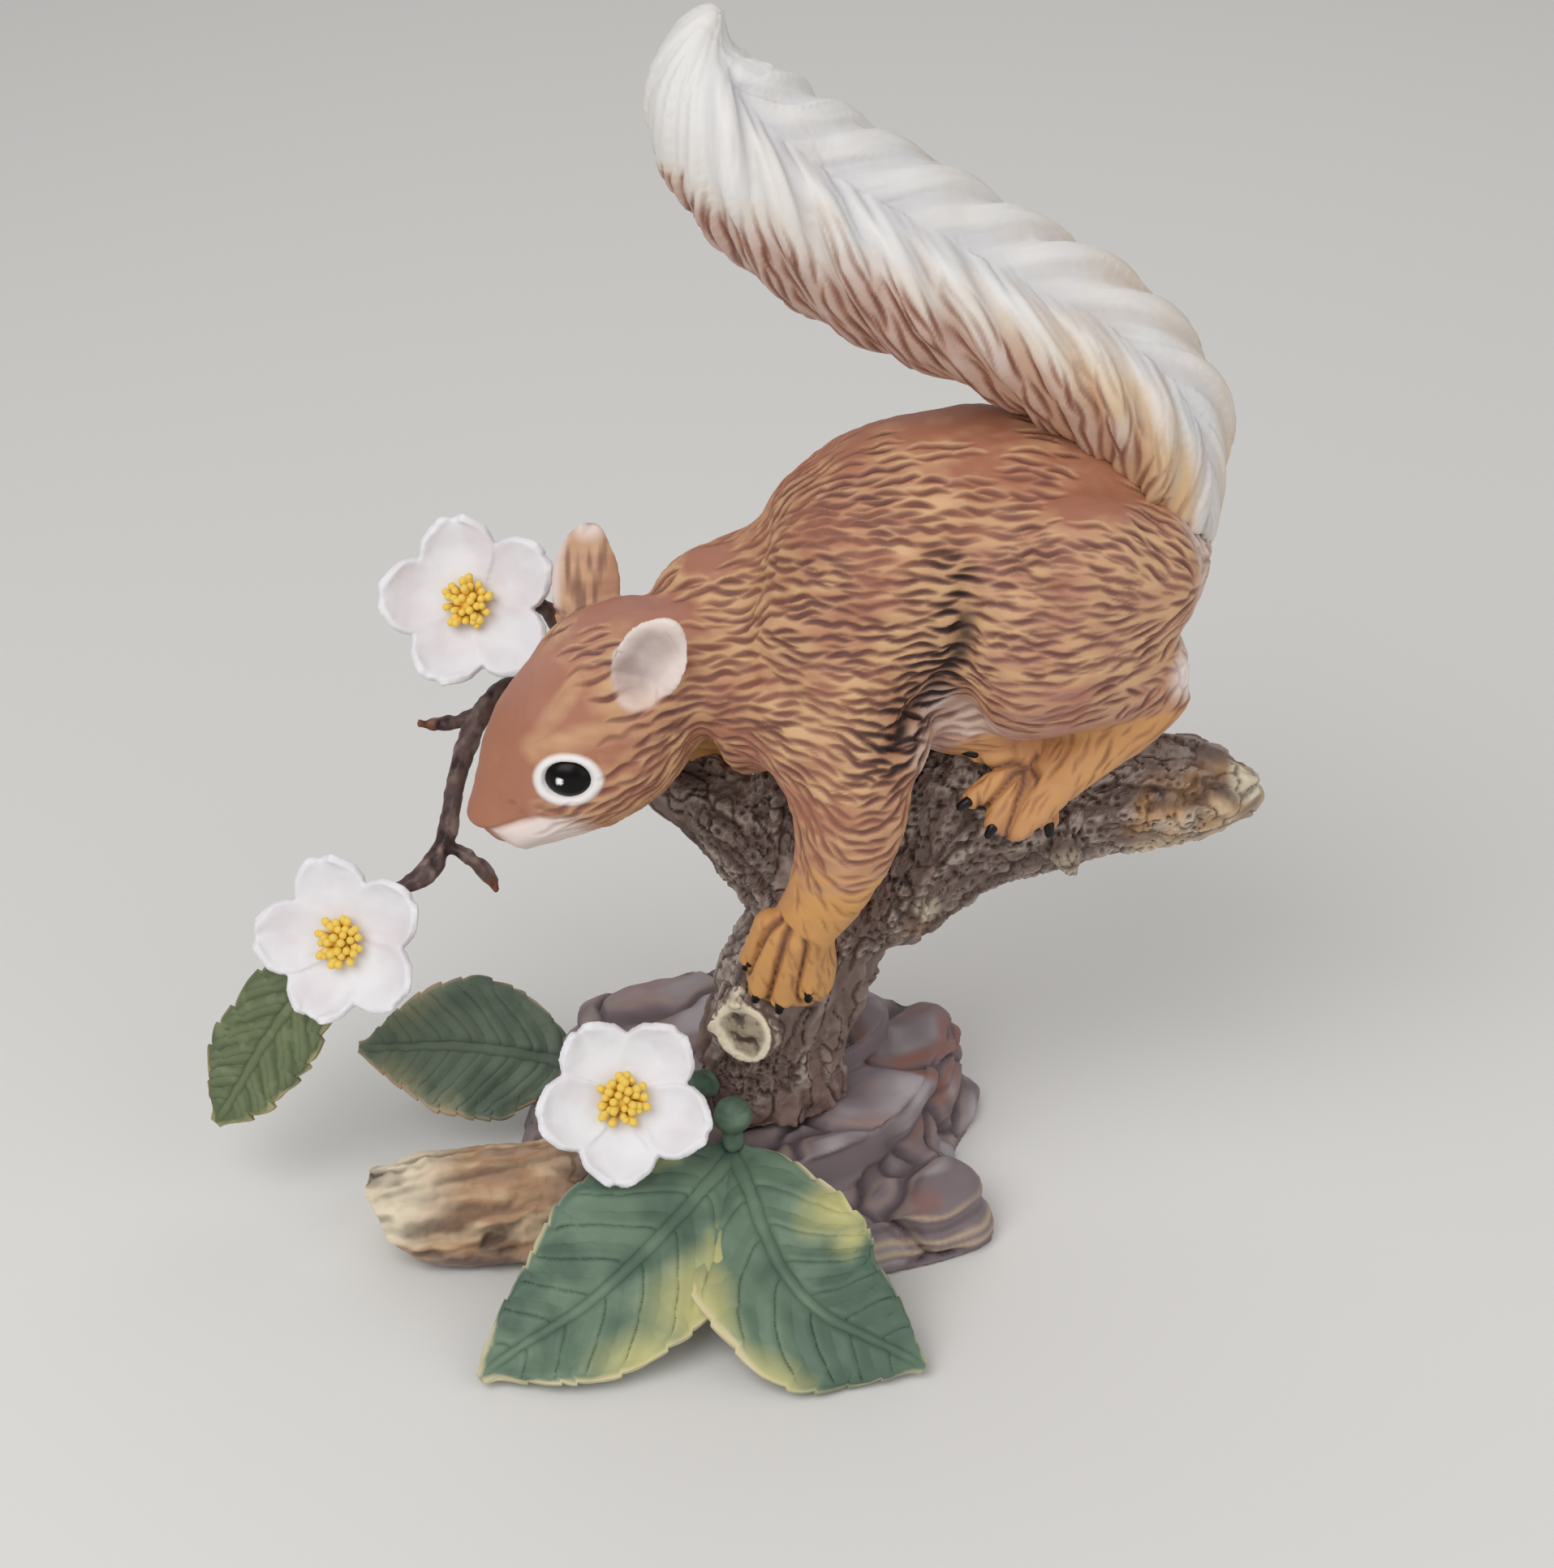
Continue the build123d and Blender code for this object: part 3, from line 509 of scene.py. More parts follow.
@dataclass(frozen=True)
class Coat:
    """One coat of paint: its colour, the mask it goes by, and how the brush lays it."""

    colour: str
    mask: Mask
    cover: float = 1.0
    brush: float = 400.0
    ragged: float = 0.2


@dataclass(frozen=True)
class Finish:
    """A fired and painted surface.

    Attributes:
        name: The material's name.
        ground: Colour under all coats.
        coats: Coats of paint, the first one lowest.
        roughness: How matt the surface is.
        gloss: Strength of its reflections.
        mottle: Swing of the faint clouds in the colour.
        tooth: Fineness of the clay's grain.
        bite: Depth of that grain, in metres.
    """

    name: str
    ground: str
    coats: tuple[Coat, ...] = ()
    roughness: float = 0.55
    gloss: float = 0.35
    mottle: float = 0.12
    tooth: float = 3000.0
    bite: float = 0.00003

    def material(self) -> bpy.types.Material:
        """Build the material."""
        material = bpy.data.materials.new(self.name)
        material.use_nodes = True
        nodes, links = material.node_tree.nodes, material.node_tree.links
        shader = nodes["Principled BSDF"]
        shader.inputs["Roughness"].default_value = self.roughness
        shader.inputs["Specular IOR Level"].default_value = self.gloss
        colour = nodes.new("ShaderNodeRGB").outputs[0]
        colour.default_value = hex_colour(self.ground)
        for coat in self.coats:
            layer = nodes.new("ShaderNodeGroup")
            layer.node_tree = ShaderGroups.coat()
            mask = nodes.new("ShaderNodeAttribute")
            mask.attribute_name = coat.mask.value
            links.new(colour, layer.inputs["Under"])
            links.new(mask.outputs["Fac"], layer.inputs["Mask"])
            layer.inputs["Coat"].default_value = hex_colour(coat.colour)
            layer.inputs["Brush"].default_value = coat.brush
            layer.inputs["Ragged"].default_value = coat.ragged
            layer.inputs["Cover"].default_value = coat.cover
            colour = layer.outputs["Colour"]
        grain = nodes.new("ShaderNodeGroup")
        grain.node_tree = ShaderGroups.grain()
        grain.inputs["Mottle"].default_value = self.mottle
        grain.inputs["Tooth"].default_value = self.tooth
        links.new(colour, grain.inputs["Colour"])
        links.new(grain.outputs["Colour"], shader.inputs["Base Color"])
        bump = nodes.new("ShaderNodeBump")
        bump.inputs["Distance"].default_value = self.bite
        bump.inputs["Strength"].default_value = 0.6
        links.new(grain.outputs["Height"], bump.inputs["Height"])
        links.new(bump.outputs["Normal"], shader.inputs["Normal"])
        return material


HIDE = Finish(
    "coat_paint", "#ab7259",
    (
        Coat("#ba8a82", Mask.ROSE, 0.85, 120, 0.5),
        Coat("#d6ad82", Mask.RIDGE, 0.98, 260, 0.4),
        Coat("#d39c5c", Mask.WARM, 1.0, 300, 0.3),
        Coat("#ebdcd5", Mask.PALE, 1.0, 300, 0.2),
        Coat("#673f39", Mask.GROOVE, 0.95, 500, 0.25),
        # painted shade along the crease between body and thigh
        Coat("#251312", Mask.DEEP, 1.0, 500, 0.3),
        Coat("#f1ecea", Mask.EDGE, 1.0, 500, 0.05),
    ),
)
PLUME = Finish(
    "plume_paint", "#e3e1df",
    (
        # cream near the root and in the streaks; the cream in the hollows between the locks is painted shade
        Coat("#dcb885", Mask.WARM, 0.9, 200, 0.4),
        Coat("#bd8c73", Mask.RIDGE, 0.92, 300, 0.35),
        Coat("#774638", Mask.GROOVE, 0.9, 400, 0.3),
        # cool grey painted shade in the crease and the hollows beside it
        Coat("#bcbcc4", Mask.DEEP, 0.5, 400, 0.2),
    ),
    gloss=0.4,
)
BARK = Finish(
    "bark_paint", "#86726a",
    (
        Coat("#87645c", Mask.EDGE, 0.8, 200, 0.4),
        Coat("#b8aca3", Mask.RIDGE, 0.85, 600, 0.4),
        Coat("#c99a66", Mask.WARM, 0.9, 300, 0.4),
        Coat("#e9dcc2", Mask.PALE, 1.0, 300, 0.25),
        Coat("#a5987f", Mask.DEEP, 0.9, 500, 0.4),
        Coat("#3d2b26", Mask.GROOVE, 0.85, 700, 0.3),
    ),
    roughness=0.6,
)
ROCK = Finish(
    "rock_paint", "#807276",
    (
        # pale tone, partly a painted highlight on the upward-facing tops
        Coat("#b5adb0", Mask.RIDGE, 0.9, 150, 0.5),
        Coat("#9a5f4c", Mask.WARM, 0.85, 150, 0.5),
        Coat("#cdb494", Mask.EDGE, 0.8, 250, 0.4),
        Coat("#453638", Mask.GROOVE, 0.9, 400, 0.3),
    ),
    roughness=0.5,
)
LEAF = Finish(
    "leaf_paint", "#6c836e",
    (
        Coat("#4d6455", Mask.DEEP, 0.8, 150, 0.4),
        Coat("#c6c181", Mask.WARM, 0.92, 150, 0.3),
        Coat("#dccfa6", Mask.EDGE, 0.9, 300, 0.3),
        Coat("#2f4436", Mask.GROOVE, 0.8, 400, 0.2),
    ),
    roughness=0.5,
)
BACK_LEAF = Finish(
    "back_leaf_paint", "#70806d",
    (
        Coat("#5a6a5a", Mask.DEEP, 0.8, 150, 0.4),
        Coat("#9a9a78", Mask.WARM, 0.8, 150, 0.3),
        Coat("#c4a98c", Mask.EDGE, 0.9, 300, 0.3),
        Coat("#38403a", Mask.GROOVE, 0.8, 400, 0.2),
    ),
    roughness=0.5,
)
OLIVE_LEAF = Finish(
    "olive_leaf_paint", "#5f6b4b",
    (
        Coat("#828d68", Mask.RIDGE, 0.6, 200, 0.4),
        Coat("#b0a679", Mask.EDGE, 0.8, 300, 0.3),
        Coat("#434730", Mask.GROOVE, 0.8, 400, 0.2),
    ),
    roughness=0.5,
)
PETAL = Finish(
    "petal_paint", "#eae9ed",
    # the pinkish grey coat is painted shade on the white petals
    (Coat("#d6c6ca", Mask.WARM, 0.5, 150, 0.3), Coat("#efeef1", Mask.EDGE, 0.4, 300, 0.2)),
    roughness=0.5, gloss=0.4, mottle=0.04,
)
STAMEN = Finish(
    "stamen_paint", "#f3d061", (Coat("#cf9c3e", Mask.GROOVE, 0.7, 900, 0.4),), roughness=0.6, mottle=0.2,
)
TWIG = Finish(
    "twig_paint", "#5c4643",
    (
        Coat("#8d7a70", Mask.RIDGE, 0.8, 700, 0.5),
        Coat("#7d4a33", Mask.WARM, 0.9, 500, 0.4),
        Coat("#2c1c1a", Mask.GROOVE, 0.9, 700, 0.3),
    ),
    roughness=0.45,
)
EYE = Finish(
    "eye_glaze", "#070404", (Coat("#fbfbfb", Mask.EDGE, 1.0, 900, 0.0),),
    roughness=0.3, gloss=0.2, mottle=0.0, bite=0.0,
)
CLAW = Finish("claw_paint", "#120b0a", (), roughness=0.35, mottle=0.0)


def place_piece(piece: bpy.types.Object, finish: bpy.types.Material,
                nodes: tuple[str, ...] = ()) -> None:
    """Dress a finished piece and hang it on the ornament's one body."""
    piece.data.materials.clear()
    piece.data.materials.append(finish)
    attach(piece, "root")
    if nodes:
        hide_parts(*nodes)
    faces = sum(len(face.vertices) - 2 for face in piece.data.polygons)
    log.info("%s: %d triangles", piece.name, faces)


def split_off(piece: bpy.types.Object, name: str, point: Triple, normal: Triple) -> bpy.types.Object:
    """Cut a closed piece by a plane into two closed pieces.

    Args:
        piece: The piece, which keeps the side that the normal points away from.
        name: Name of the part on the side that the normal points to.
        point: A point of the plane.
        normal: The plane's normal.

    Returns:
        The part that was split off.
    """
    other = twin(piece, name)
    for part, clear in ((piece, {"clear_outer": True}), (other, {"clear_inner": True})):
        with editing(part):
            bpy.ops.mesh.bisect(
                plane_co=Vector(point) * MM, plane_no=normal, use_fill=True, threshold=1e-7, **clear
            )
    return other


def smooth_shaded(piece: bpy.types.Object, angle: float = 75) -> None:
    """Shade a piece smooth, except over edges sharper than the angle."""
    select_only(piece)
    bpy.ops.object.shade_smooth_by_angle(angle=math.radians(angle))


def sampled(rows: np.ndarray, at: np.ndarray, steps: np.ndarray) -> np.ndarray:
    """Read rows of three numbers, which lie at these steps, at places between them."""
    return np.stack([np.interp(at, steps, rows[:, axis]) for axis in range(3)], axis=1)


def pressed_sheet(name: str, columns: int, rows: int) -> tuple[Skin, np.ndarray, np.ndarray]:
    """Roll out a flat sheet of clay.

    Args:
        name: Name of the new piece.
        columns: Divisions along the sheet.
        rows: Divisions across it.

    Returns:
        The sheet's skin, each vertex's share of the way along it, and its place across, -1 to 1.
    """
    bpy.ops.mesh.primitive_grid_add(x_subdivisions=columns, y_subdivisions=rows, size=2)
    piece = bpy.context.view_layer.objects.active
    piece.name = piece.data.name = name
    skin = Skin(piece)
    flat = skin.places / MM_IN_A_METRE
    return skin, (flat[:, 0] + 1) / 2, flat[:, 1]


def spine(points: list[Triple], count: int = 90) -> np.ndarray:
    """Run a smooth curve through points and divide it evenly."""
    rows = np.asarray(points, float)
    ends = np.vstack([2 * rows[0] - rows[1], rows, 2 * rows[-1] - rows[-2]])
    fine = []
    for before, start, end, after in zip(ends[:-3], ends[1:-2], ends[2:-1], ends[3:]):
        for share in np.linspace(0, 1, STEPS_PER_SPAN, endpoint=False):
            fine.append(0.5 * (
                2 * start + (end - before) * share + (2 * before - 5 * start + 4 * end - after) * share**2
                + (3 * start - before - 3 * end + after) * share**3
            ))
    fine = np.array(fine + [rows[-1]])
    run = np.concatenate([[0], np.cumsum(np.linalg.norm(np.diff(fine, axis=0), axis=1))])
    even = np.linspace(0, run[-1], count)
    return sampled(fine, even, run)


def along_spine(places: np.ndarray, line: np.ndarray) -> tuple[np.ndarray, np.ndarray, np.ndarray]:
    """Find where points lie along a curve.

    Args:
        places: The points.
        line: The curve, divided evenly.

    Returns:
        Distance along the curve, the curve's direction there, and the offset from it.
    """
    way = unit(np.gradient(line, axis=0))
    step = np.linalg.norm(line[1] - line[0])
    nearest = np.empty(len(places), np.int64)
    for start in range(0, len(places), ROWS_AT_ONCE):
        part = places[start:start + ROWS_AT_ONCE]
        gaps = np.linalg.norm(part[:, None, :] - line[None], axis=2)
        nearest[start:start + ROWS_AT_ONCE] = np.argmin(gaps, axis=1)
    offset = places - line[nearest]
    extra = np.sum(offset * way[nearest], axis=1)
    return nearest * step + extra, way[nearest], offset - way[nearest] * extra[:, None]


@dataclass
class Plume:
    """The bushy tail: locks that run up to a crease from both sides and point to the tip."""

    voxel: float = 0.36
    width: float = 31.0
    height: float = 25.0
    radius: float = 13.5
    length: float = 121.0
    pitch: float = 11.0
    first_lock: float = 1.5
    crease_angle: float = math.pi / 4
    crease_depth: float = 0.9
    lie_turns: tuple[float, ...] = (0, 11, 30, 52, 74, 105, 140, 180)
    lie_runs: tuple[float, ...] = (2.35, 1.98, 1.32, 0.62, 0.0, -0.75, -1.4, -2.0)
    lie_reach: float = 5.0
    near_edge_runs: tuple[float, ...] = (0, 14, 27, 40, 52, 64, 76, 90, 98, 104, 110)
    near_edge_turns: tuple[float, ...] = (30, 38, 42, 44, 43, 41, 45, 52, 68, 95, 190)
    far_edge_runs: tuple[float, ...] = (0, 30, 90, 104, 112)
    far_edge_turns: tuple[float, ...] = (66, 74, 84, 110, 190)
    side_offset: float = 40.0
    centre_line: list[Triple] = field(default_factory=lambda: [
        (60.1, 4.1, 101.0), (62.0, 4.1, 106.9), (63.2, 5.0, 117.0), (60.8, 6.1, 128.4), (49.5, 7.0, 139.7),
        (31.8, 8.1, 148.8), (14.5, 8.1, 158.7), (2.9, 7.0, 168.3), (-2.8, 6.1, 178.0), (-2.7, 5.6, 184.1),
        (-0.4, 5.0, 188.6),
    ])

    def build(self) -> None:
        """Fuse, carve and paint the tail."""
        plug = drop("plug", (60.3, 4.1, 100.0), (63, 4.8, 112), 7.0, 6.5)
        piece = joined("tail_plume", [copied("tail_plume", ("tail",)), plug])
        remesh(piece, 0.8)
        piece = outer_shell(piece)
        relax(piece, 4)
        remesh(piece, self.voxel)
        skin = Skin(piece)
        along, around, lie, flow = self.chart(skin)
        brown, streaks = self.brown(along, around, lie)
        groove = Graver(14.0, 0.42, 1.5, 0.35, 3).score(skin, flow, 0.2 + 0.8 * streaks)
        skin.raise_by(self.relief(along, around, lie) - (0.16 + 0.2 * streaks) * groove)
        self.colour(skin, along, around, lie, brown, streaks, groove)
        smooth_shaded(skin.piece)
        place_piece(skin.piece, PLUME.material(), ("tail",))

    def chart(self, skin: Skin) -> tuple[np.ndarray, np.ndarray, np.ndarray, np.ndarray]:
        """Lay out the tail's skin.

        Args:
            skin: The tail's skin.

        Returns:
            Distance from the root, turn from the crease in radians, a distance that is the same all
            along a hair, and the direction of the hair.
        """
        along, way, offset = along_spine(skin.places, spine(self.centre_line))
        across = unit(np.array([0.0, 1.0, 0.0]) - way * way[:, 1:2])
        outward = np.cross(across, way)
        high = np.sum(offset * outward, axis=1) / self.height
        wide = -np.sum(offset * across, axis=1) / self.width
        turn = np.arctan2(high, wide)
        around = (turn - self.crease_angle + math.pi) % math.tau - math.pi
        away = np.degrees(np.abs(around))
        run = self.pitch * np.interp(away, self.lie_turns, self.lie_runs)
        before = np.interp(away - self.lie_reach, self.lie_turns, self.lie_runs)
        after = np.interp(away + self.lie_reach, self.lie_turns, self.lie_runs)
        ahead = self.pitch * (before - after) / math.radians(2 * self.lie_reach)
        ring = np.cross(way, unit(offset)) * -np.sign(around)[:, None]
        return along, around, along - run, unit(way * ahead[:, None] + ring * self.radius)

    def relief(self, along: np.ndarray, around: np.ndarray, lie: np.ndarray) -> np.ndarray:
        """Work out how high each vertex stands: locks, their strands and the crease."""
        side = np.sign(around) * self.side_offset
        away = np.abs(around) * self.radius
        sway = np.stack([lie / 26, away / 12, side], axis=1)
        warped = lie + 1.3 * ripple(sway, 1.0, 3) + 0.7 * ripple(sway, 0.45, 4)
        swell = np.cos(math.tau * (lie / self.pitch - self.first_lock))
        strands = ripple(np.stack([warped / 2.3, away / 15, side], axis=1), 1.0, 6)
        strands = strands * np.where(around < 0, 1, 0.6)
        hairs = ripple(np.stack([warped / 1.2, away / 11, side], axis=1), 1.0, 7)
        tip = 1 - smooth_step(self.length - 14, self.length - 2, along)
        crease = bell(away, 0, 2.2) * smooth_step(18, 30, along) * tip
        slope = smooth_step(1.5, 5.0, away) * smooth_step(18, 30, along)
        swell = swell * slope * np.where(around < 0, 0.42, 0.1)
        return (swell * tip + 0.34 * strands) * (0.4 + 0.6 * tip) + 0.12 * hairs - self.crease_depth * crease

    def brown(self, along: np.ndarray, around: np.ndarray, lie: np.ndarray) -> tuple[np.ndarray, np.ndarray]:
        """Tell where the tail's back is painted brown, and where streaks of it run out into the white."""
        away = np.degrees(np.abs(around))
        near_edge = np.interp(along, self.near_edge_runs, self.near_edge_turns)
        far_edge = np.interp(along, self.far_edge_runs, self.far_edge_turns)
        edge = np.where(around < 0, near_edge, far_edge)
        side = np.sign(around) * self.side_offset
        tufts = ripple(np.stack([lie / 3.6, np.abs(around) * 0.8, side], axis=1), 1.0, 21)
        fine = ripple(np.stack([lie / 1.4, np.abs(around), side], axis=1), 1.0, 22)
        beyond = away - edge + 13 * tufts + 6 * fine
        return smooth_step(-10, 18, beyond), smooth_step(-32, 6, beyond)

    def colour(self, skin: Skin, along: np.ndarray, around: np.ndarray, lie: np.ndarray, brown: np.ndarray,
               streaks: np.ndarray, groove: np.ndarray) -> None:
        """Paint white locks that run out of the brown back of the tail, cream near the root, and painted
        shade in the crease and the hollows between the locks.
        """
        away = np.abs(around) * self.radius
        hollow = smooth_step(0.3, -0.9, np.cos(math.tau * (lie / self.pitch - self.first_lock)))
        root = smooth_step(52, 14, along)
        clouds = rough(skin.places, 12.0, 23)
        field_of_brown = brown * (1 - 0.6 * root * (0.7 + 0.6 * clouds)) * (0.92 - 0.22 * (1 - groove))
        skin.paint(Mask.RIDGE, field_of_brown + 0.3 * streaks * groove)
        line = smooth_step(0.2, 0.9, groove)
        skin.paint(Mask.GROOVE, line * (brown * (1 - 0.3 * root) + 0.4 * streaks * (1 - brown)))
        near = np.where(around < 0, 1.0, 0.35)
        cream = smooth_step(64, 20, along) * smooth_step(2, 9, away) * (0.85 + 0.5 * clouds) * near
        # the streaks are paint; the darker cream in the hollows between the locks, towards the root, is
        # painted shade
        tint = 0.3 * streaks * (1 - brown) + 0.45 * smooth_step(85, 40, along) * hollow * near
        skin.paint(Mask.WARM, cream + tint + 0.08 + 0.1 * clouds)
        # painted shade: cool grey along the crease and in the hollows near it, on the white
        crease = bell(away, 0, 2.6)
        skin.paint(Mask.DEEP, 0.6 * crease + 0.5 * hollow * (1 - brown) * smooth_step(18, 6, away))


@dataclass(frozen=True)
class Toe:
    """One toe: where it leaves the foot, where it ends, and how thick it is."""

    root: Triple
    tip: Triple
    root_radius: float = 2.5
    tip_radius: float = 1.8

    def mirrored(self, middle: float) -> "Toe":
        """Give the same toe on the animal's other side."""
        return Toe(
            (self.root[0], 2 * middle - self.root[1], self.root[2]),
            (self.tip[0], 2 * middle - self.tip[1], self.tip[2]),
            self.root_radius, self.tip_radius,
        )

    def flesh(self, name: str) -> bpy.types.Object:
        """Model the toe."""
        return drop(name, np.array(self.root), np.array(self.tip), self.root_radius, self.tip_radius)

    def claw(self, name: str) -> bpy.types.Object:
        """Model the claw at the toe's end."""
        tip = np.array(self.tip)
        way = unit(tip - np.array(self.root))
        side = 1.0 if tip[1] > ANIMAL_MIDDLE else -1.0
        lifted = np.array([0, 0.866 * side, 0.35]) * (self.tip_radius * 0.62)
        middle = tip + way * (self.tip_radius * 0.75) + lifted
        return drop(name, middle - way * 0.6, middle + way * 0.7, 0.85, 0.68, 8)


@dataclass
class Hide:
    """The animal's coat: one fused skin over body, head, legs and feet, carved and painted."""

    voxel: float = 0.32
    middle: float = ANIMAL_MIDDLE
    head_way: Triple = (-0.732, -0.250, -0.634)
    head_left: Triple = (0.378, -0.923, -0.073)
    head_up: Triple = (-0.567, -0.293, 0.770)
    nose: Triple = (-35.6, -13.6, 71.2)
    skull: Triple = (-19.1, -5.5, 85.0)
    eye: Triple = (-22.4, -19.6, 83.9)
    eye_half_sizes: Triple = (3.6, 2.0, 3.05)
    ring_half_sizes: tuple[float, float] = (5.2, 4.15)
    left_ear: tuple[Triple, Triple, Triple, Triple] = (
        (-13.6, -13.6, 93.0), (0.384, -0.173, 0.907), (0.029, -0.980, 0.195), (0.916, -0.052, -0.398),
    )
    right_ear: tuple[Triple, Triple, Triple, Triple] = (
        (-20.9, 5.1, 95.2), (0.050, 0.218, 0.975), (0.147, 0.932, -0.331), (-0.987, 0.160, 0.015),
    )
    ear_length: float = 16.5
    ear_half_width: float = 5.3
    left_paw: tuple[Toe, ...] = (
        Toe((6.5, -14.5, 56.0), (3.6, -12.6, 49.0)),
        Toe((8.0, -16.0, 55.0), (4.9, -14.9, 45.0)),
        Toe((10.0, -16.5, 54.5), (8.2, -15.6, 43.6)),
        Toe((13.0, -16.0, 55.0), (12.4, -15.4, 45.6)),
    )
    right_paw: tuple[Toe, ...] = (
        Toe((1.5, 16.0, 74.0), (-1.5, 20.0, 66.5)),
        Toe((-0.5, 16.0, 74.0), (-4.2, 18.5, 66.0)),
        Toe((-1.5, 14.5, 74.0), (-6.6, 14.5, 68.5)),
        Toe((-1.0, 12.5, 74.0), (-6.2, 10.5, 70.0)),
    )
    hind_toes: tuple[Toe, ...] = (
        Toe((43.5, -7.5, 80.5), (37.2, -6.5, 81.0), 2.4, 1.7),
        Toe((42.5, -8.5, 79.0), (36.2, -10.0, 75.2), 2.5, 1.7),
        Toe((43.0, -9.5, 78.0), (39.6, -11.8, 72.2), 2.5, 1.7),
        Toe((44.5, -9.5, 78.0), (43.4, -12.0, 71.6), 2.5, 1.7),
        Toe((46.5, -9.0, 79.0), (47.4, -11.4, 72.4), 2.5, 1.7),
    )
    crease: list[Triple] = field(default_factory=lambda: [
        (34.2, -15.5, 113.5), (34.2, -16.4, 108.4), (33.3, -15.7, 101.6),
        (29.2, -13.2, 93.9), (25.9, -15.1, 92.0), (24.9, -17.5, 88.5),
    ])
    hands: list[tuple[Triple, Triple]] = field(default_factory=lambda: [
        ((-30, -14, 77), (0.8, 0.1, 0.5)), ((-20, -17, 80), (0.87, 0.1, 0.42)),
        ((-10, -14, 86), (0.93, 0, 0.33)), ((0, -14, 92), (0.97, 0, 0.2)),
        ((12, -16, 98), (1, 0, 0.0)), ((25, -17, 106), (1, 0, 0.04)),
        ((30, -16, 118), (1, 0, -0.04)), ((45, -19, 112), (1, 0, -0.05)),
        ((61, -14, 118), (0.8, 0, -0.5)), ((63, -12, 104), (0.85, 0, 0.3)),
        ((46, -18, 96), (0.95, 0, 0.2)), ((18, -17, 87), (0.72, 0, -0.5)),
        ((15, -17, 72), (0.35, 0, -0.9)), ((25, -17, 82), (0.8, 0, 0.5)),
        ((20, -16, 70), (0.6, 0, 0.7)), ((11, -17, 60), (0.25, 0, -0.95)),
        ((44, -10, 79), (-0.45, 0, -0.85)), ((62, -10, 91), (-0.75, 0, -0.6)),
        ((30, 2, 127), (1, 0, 0)), ((10, -8, 84), (0.6, 0, -0.6)),
        ((55, 2, 125), (0.9, 0, -0.3)), ((36, -10, 88), (0.9, 0, 0.3)),
    ])

    def build(self) -> None:
        """Fuse, carve, paint and divide the coat, then set the eyes and the claws."""
        piece = self.fused()
        skin = Skin(piece)
        self.shape(skin)
        groove = self.carve(skin)
        self.colour(skin, groove)
        material = HIDE.material()
        body = skin.piece
        head = split_off(body, "coat_head", (-1.5, 0, 91.0), (-0.80, 0.0, -0.35))
        rump = split_off(body, "coat_hindquarters", (30.0, 0, 100.0), (1.0, 0.0, 0.0))
        body.name = "coat_forequarters"
        for part, slot, nodes in (
            (head, "fur_bisque", ("head", "ear_left", "ear_right")),
            (body, "fur_bisque", ("torso", "foreleg_left", "foreleg_right")),
            (rump, "fur_bisque", ("belly", "thigh_left", "thigh_right", "hind_foot_left", "hind_foot_right")),
        ):
            smooth_shaded(part)
            place_piece(part, material, nodes)
        self.set_eyes()
        self.set_claws()

    def fused(self) -> bpy.types.Object:
        """Fuse the animal's solids into one smooth skin."""
        body = copied("coat", (
            "torso", "head", "thigh_left", "thigh_right", "foreleg_left", "foreleg_right", "belly",
            "hind_foot_left", "hind_foot_right",
        ))
        modify(body, "DISPLACE", strength=0.25 * MM, mid_level=0.0)
        fillers = [
            drop("shoulder", (18, -9, 95), (15, -6, 100), 11.0, 12.0),
            drop("jaw", (-31.4, -12.1, 74.0), (-28.8, -11.2, 76.0), 2.7, 2.9),
            drop("nape", (-6, -2.5, 93), (4, 0.5, 93), 10.5, 11.5),
            drop("withers", (-3, 5.5, 99.5), (8, 4.0, 105.5), 8.0, 10.0),
            drop("haunch", (50, -9, 112), (56, -6, 110), 12.5, 12.5),
            drop("far_haunch", (50, 17, 112), (56, 14, 110), 12.5, 12.5),
        ]
        body = joined("coat", [body, *fillers])
        remesh(body, 0.9)
        body = outer_shell(body)
        relax(body, 9)
        modify(body, "SUBSURF", levels=1, render_levels=1)
        toes = [toe.flesh("toe") for toe in self.all_toes()]
        ears = [self.ear(node, frame_of_ear) for node, frame_of_ear in
                (("ear_left", self.left_ear), ("ear_right", self.right_ear))]
        body = joined("coat", [body, *toes, *ears])
        remesh(body, self.voxel)
        body = outer_shell(body)
        relax(body, 4)
        return body

    def all_toes(self) -> list[Toe]:
        """List the toes of all four feet."""
        far_toes = [toe.mirrored(self.middle) for toe in self.hind_toes]
        return [*self.left_paw, *self.right_paw, *self.hind_toes, *far_toes]

    def ear(self, node: str, ear_frame: tuple[Triple, Triple, Triple, Triple]) -> bpy.types.Object:
        """Bend one ear's solid into a cup.

        Args:
            node: Name of the ear's solid.
            ear_frame: Its root, and the directions it grows in, faces and spreads.

        Returns:
            The cupped ear, its foot sunk into the skull.
        """
        piece = copied(node, (node,))
        remesh(piece, 0.3)
        skin = Skin(piece)
        root, way, face, spread = (np.array(row) for row in ear_frame)
        offset = skin.places - root
        tall = offset @ way / self.ear_length
        wide = offset @ spread / self.ear_half_width
        bowl = np.clip(1 - wide**2, 0, 1) * smooth_step(1.05, 0.55, tall) * smooth_step(0.0, 0.25, tall)
        skin.places -= face * (1.5 * bowl)[:, None]
        front = smooth_step(0.1, 0.7, skin.normals @ face)
        skin.places -= face * (0.8 * bowl * front)[:, None]
        skin.places -= way * (0.6 * smooth_step(0.3, 0.0, tall))[:, None]
        skin.write()
        return skin.piece

    def in_head(self, places: np.ndarray) -> tuple[np.ndarray, np.ndarray]:
        """Give distances back from the nose and above its axis."""
        offset = places - np.array(self.nose)
        return -(offset @ np.array(self.head_way)), offset @ np.array(self.head_up)

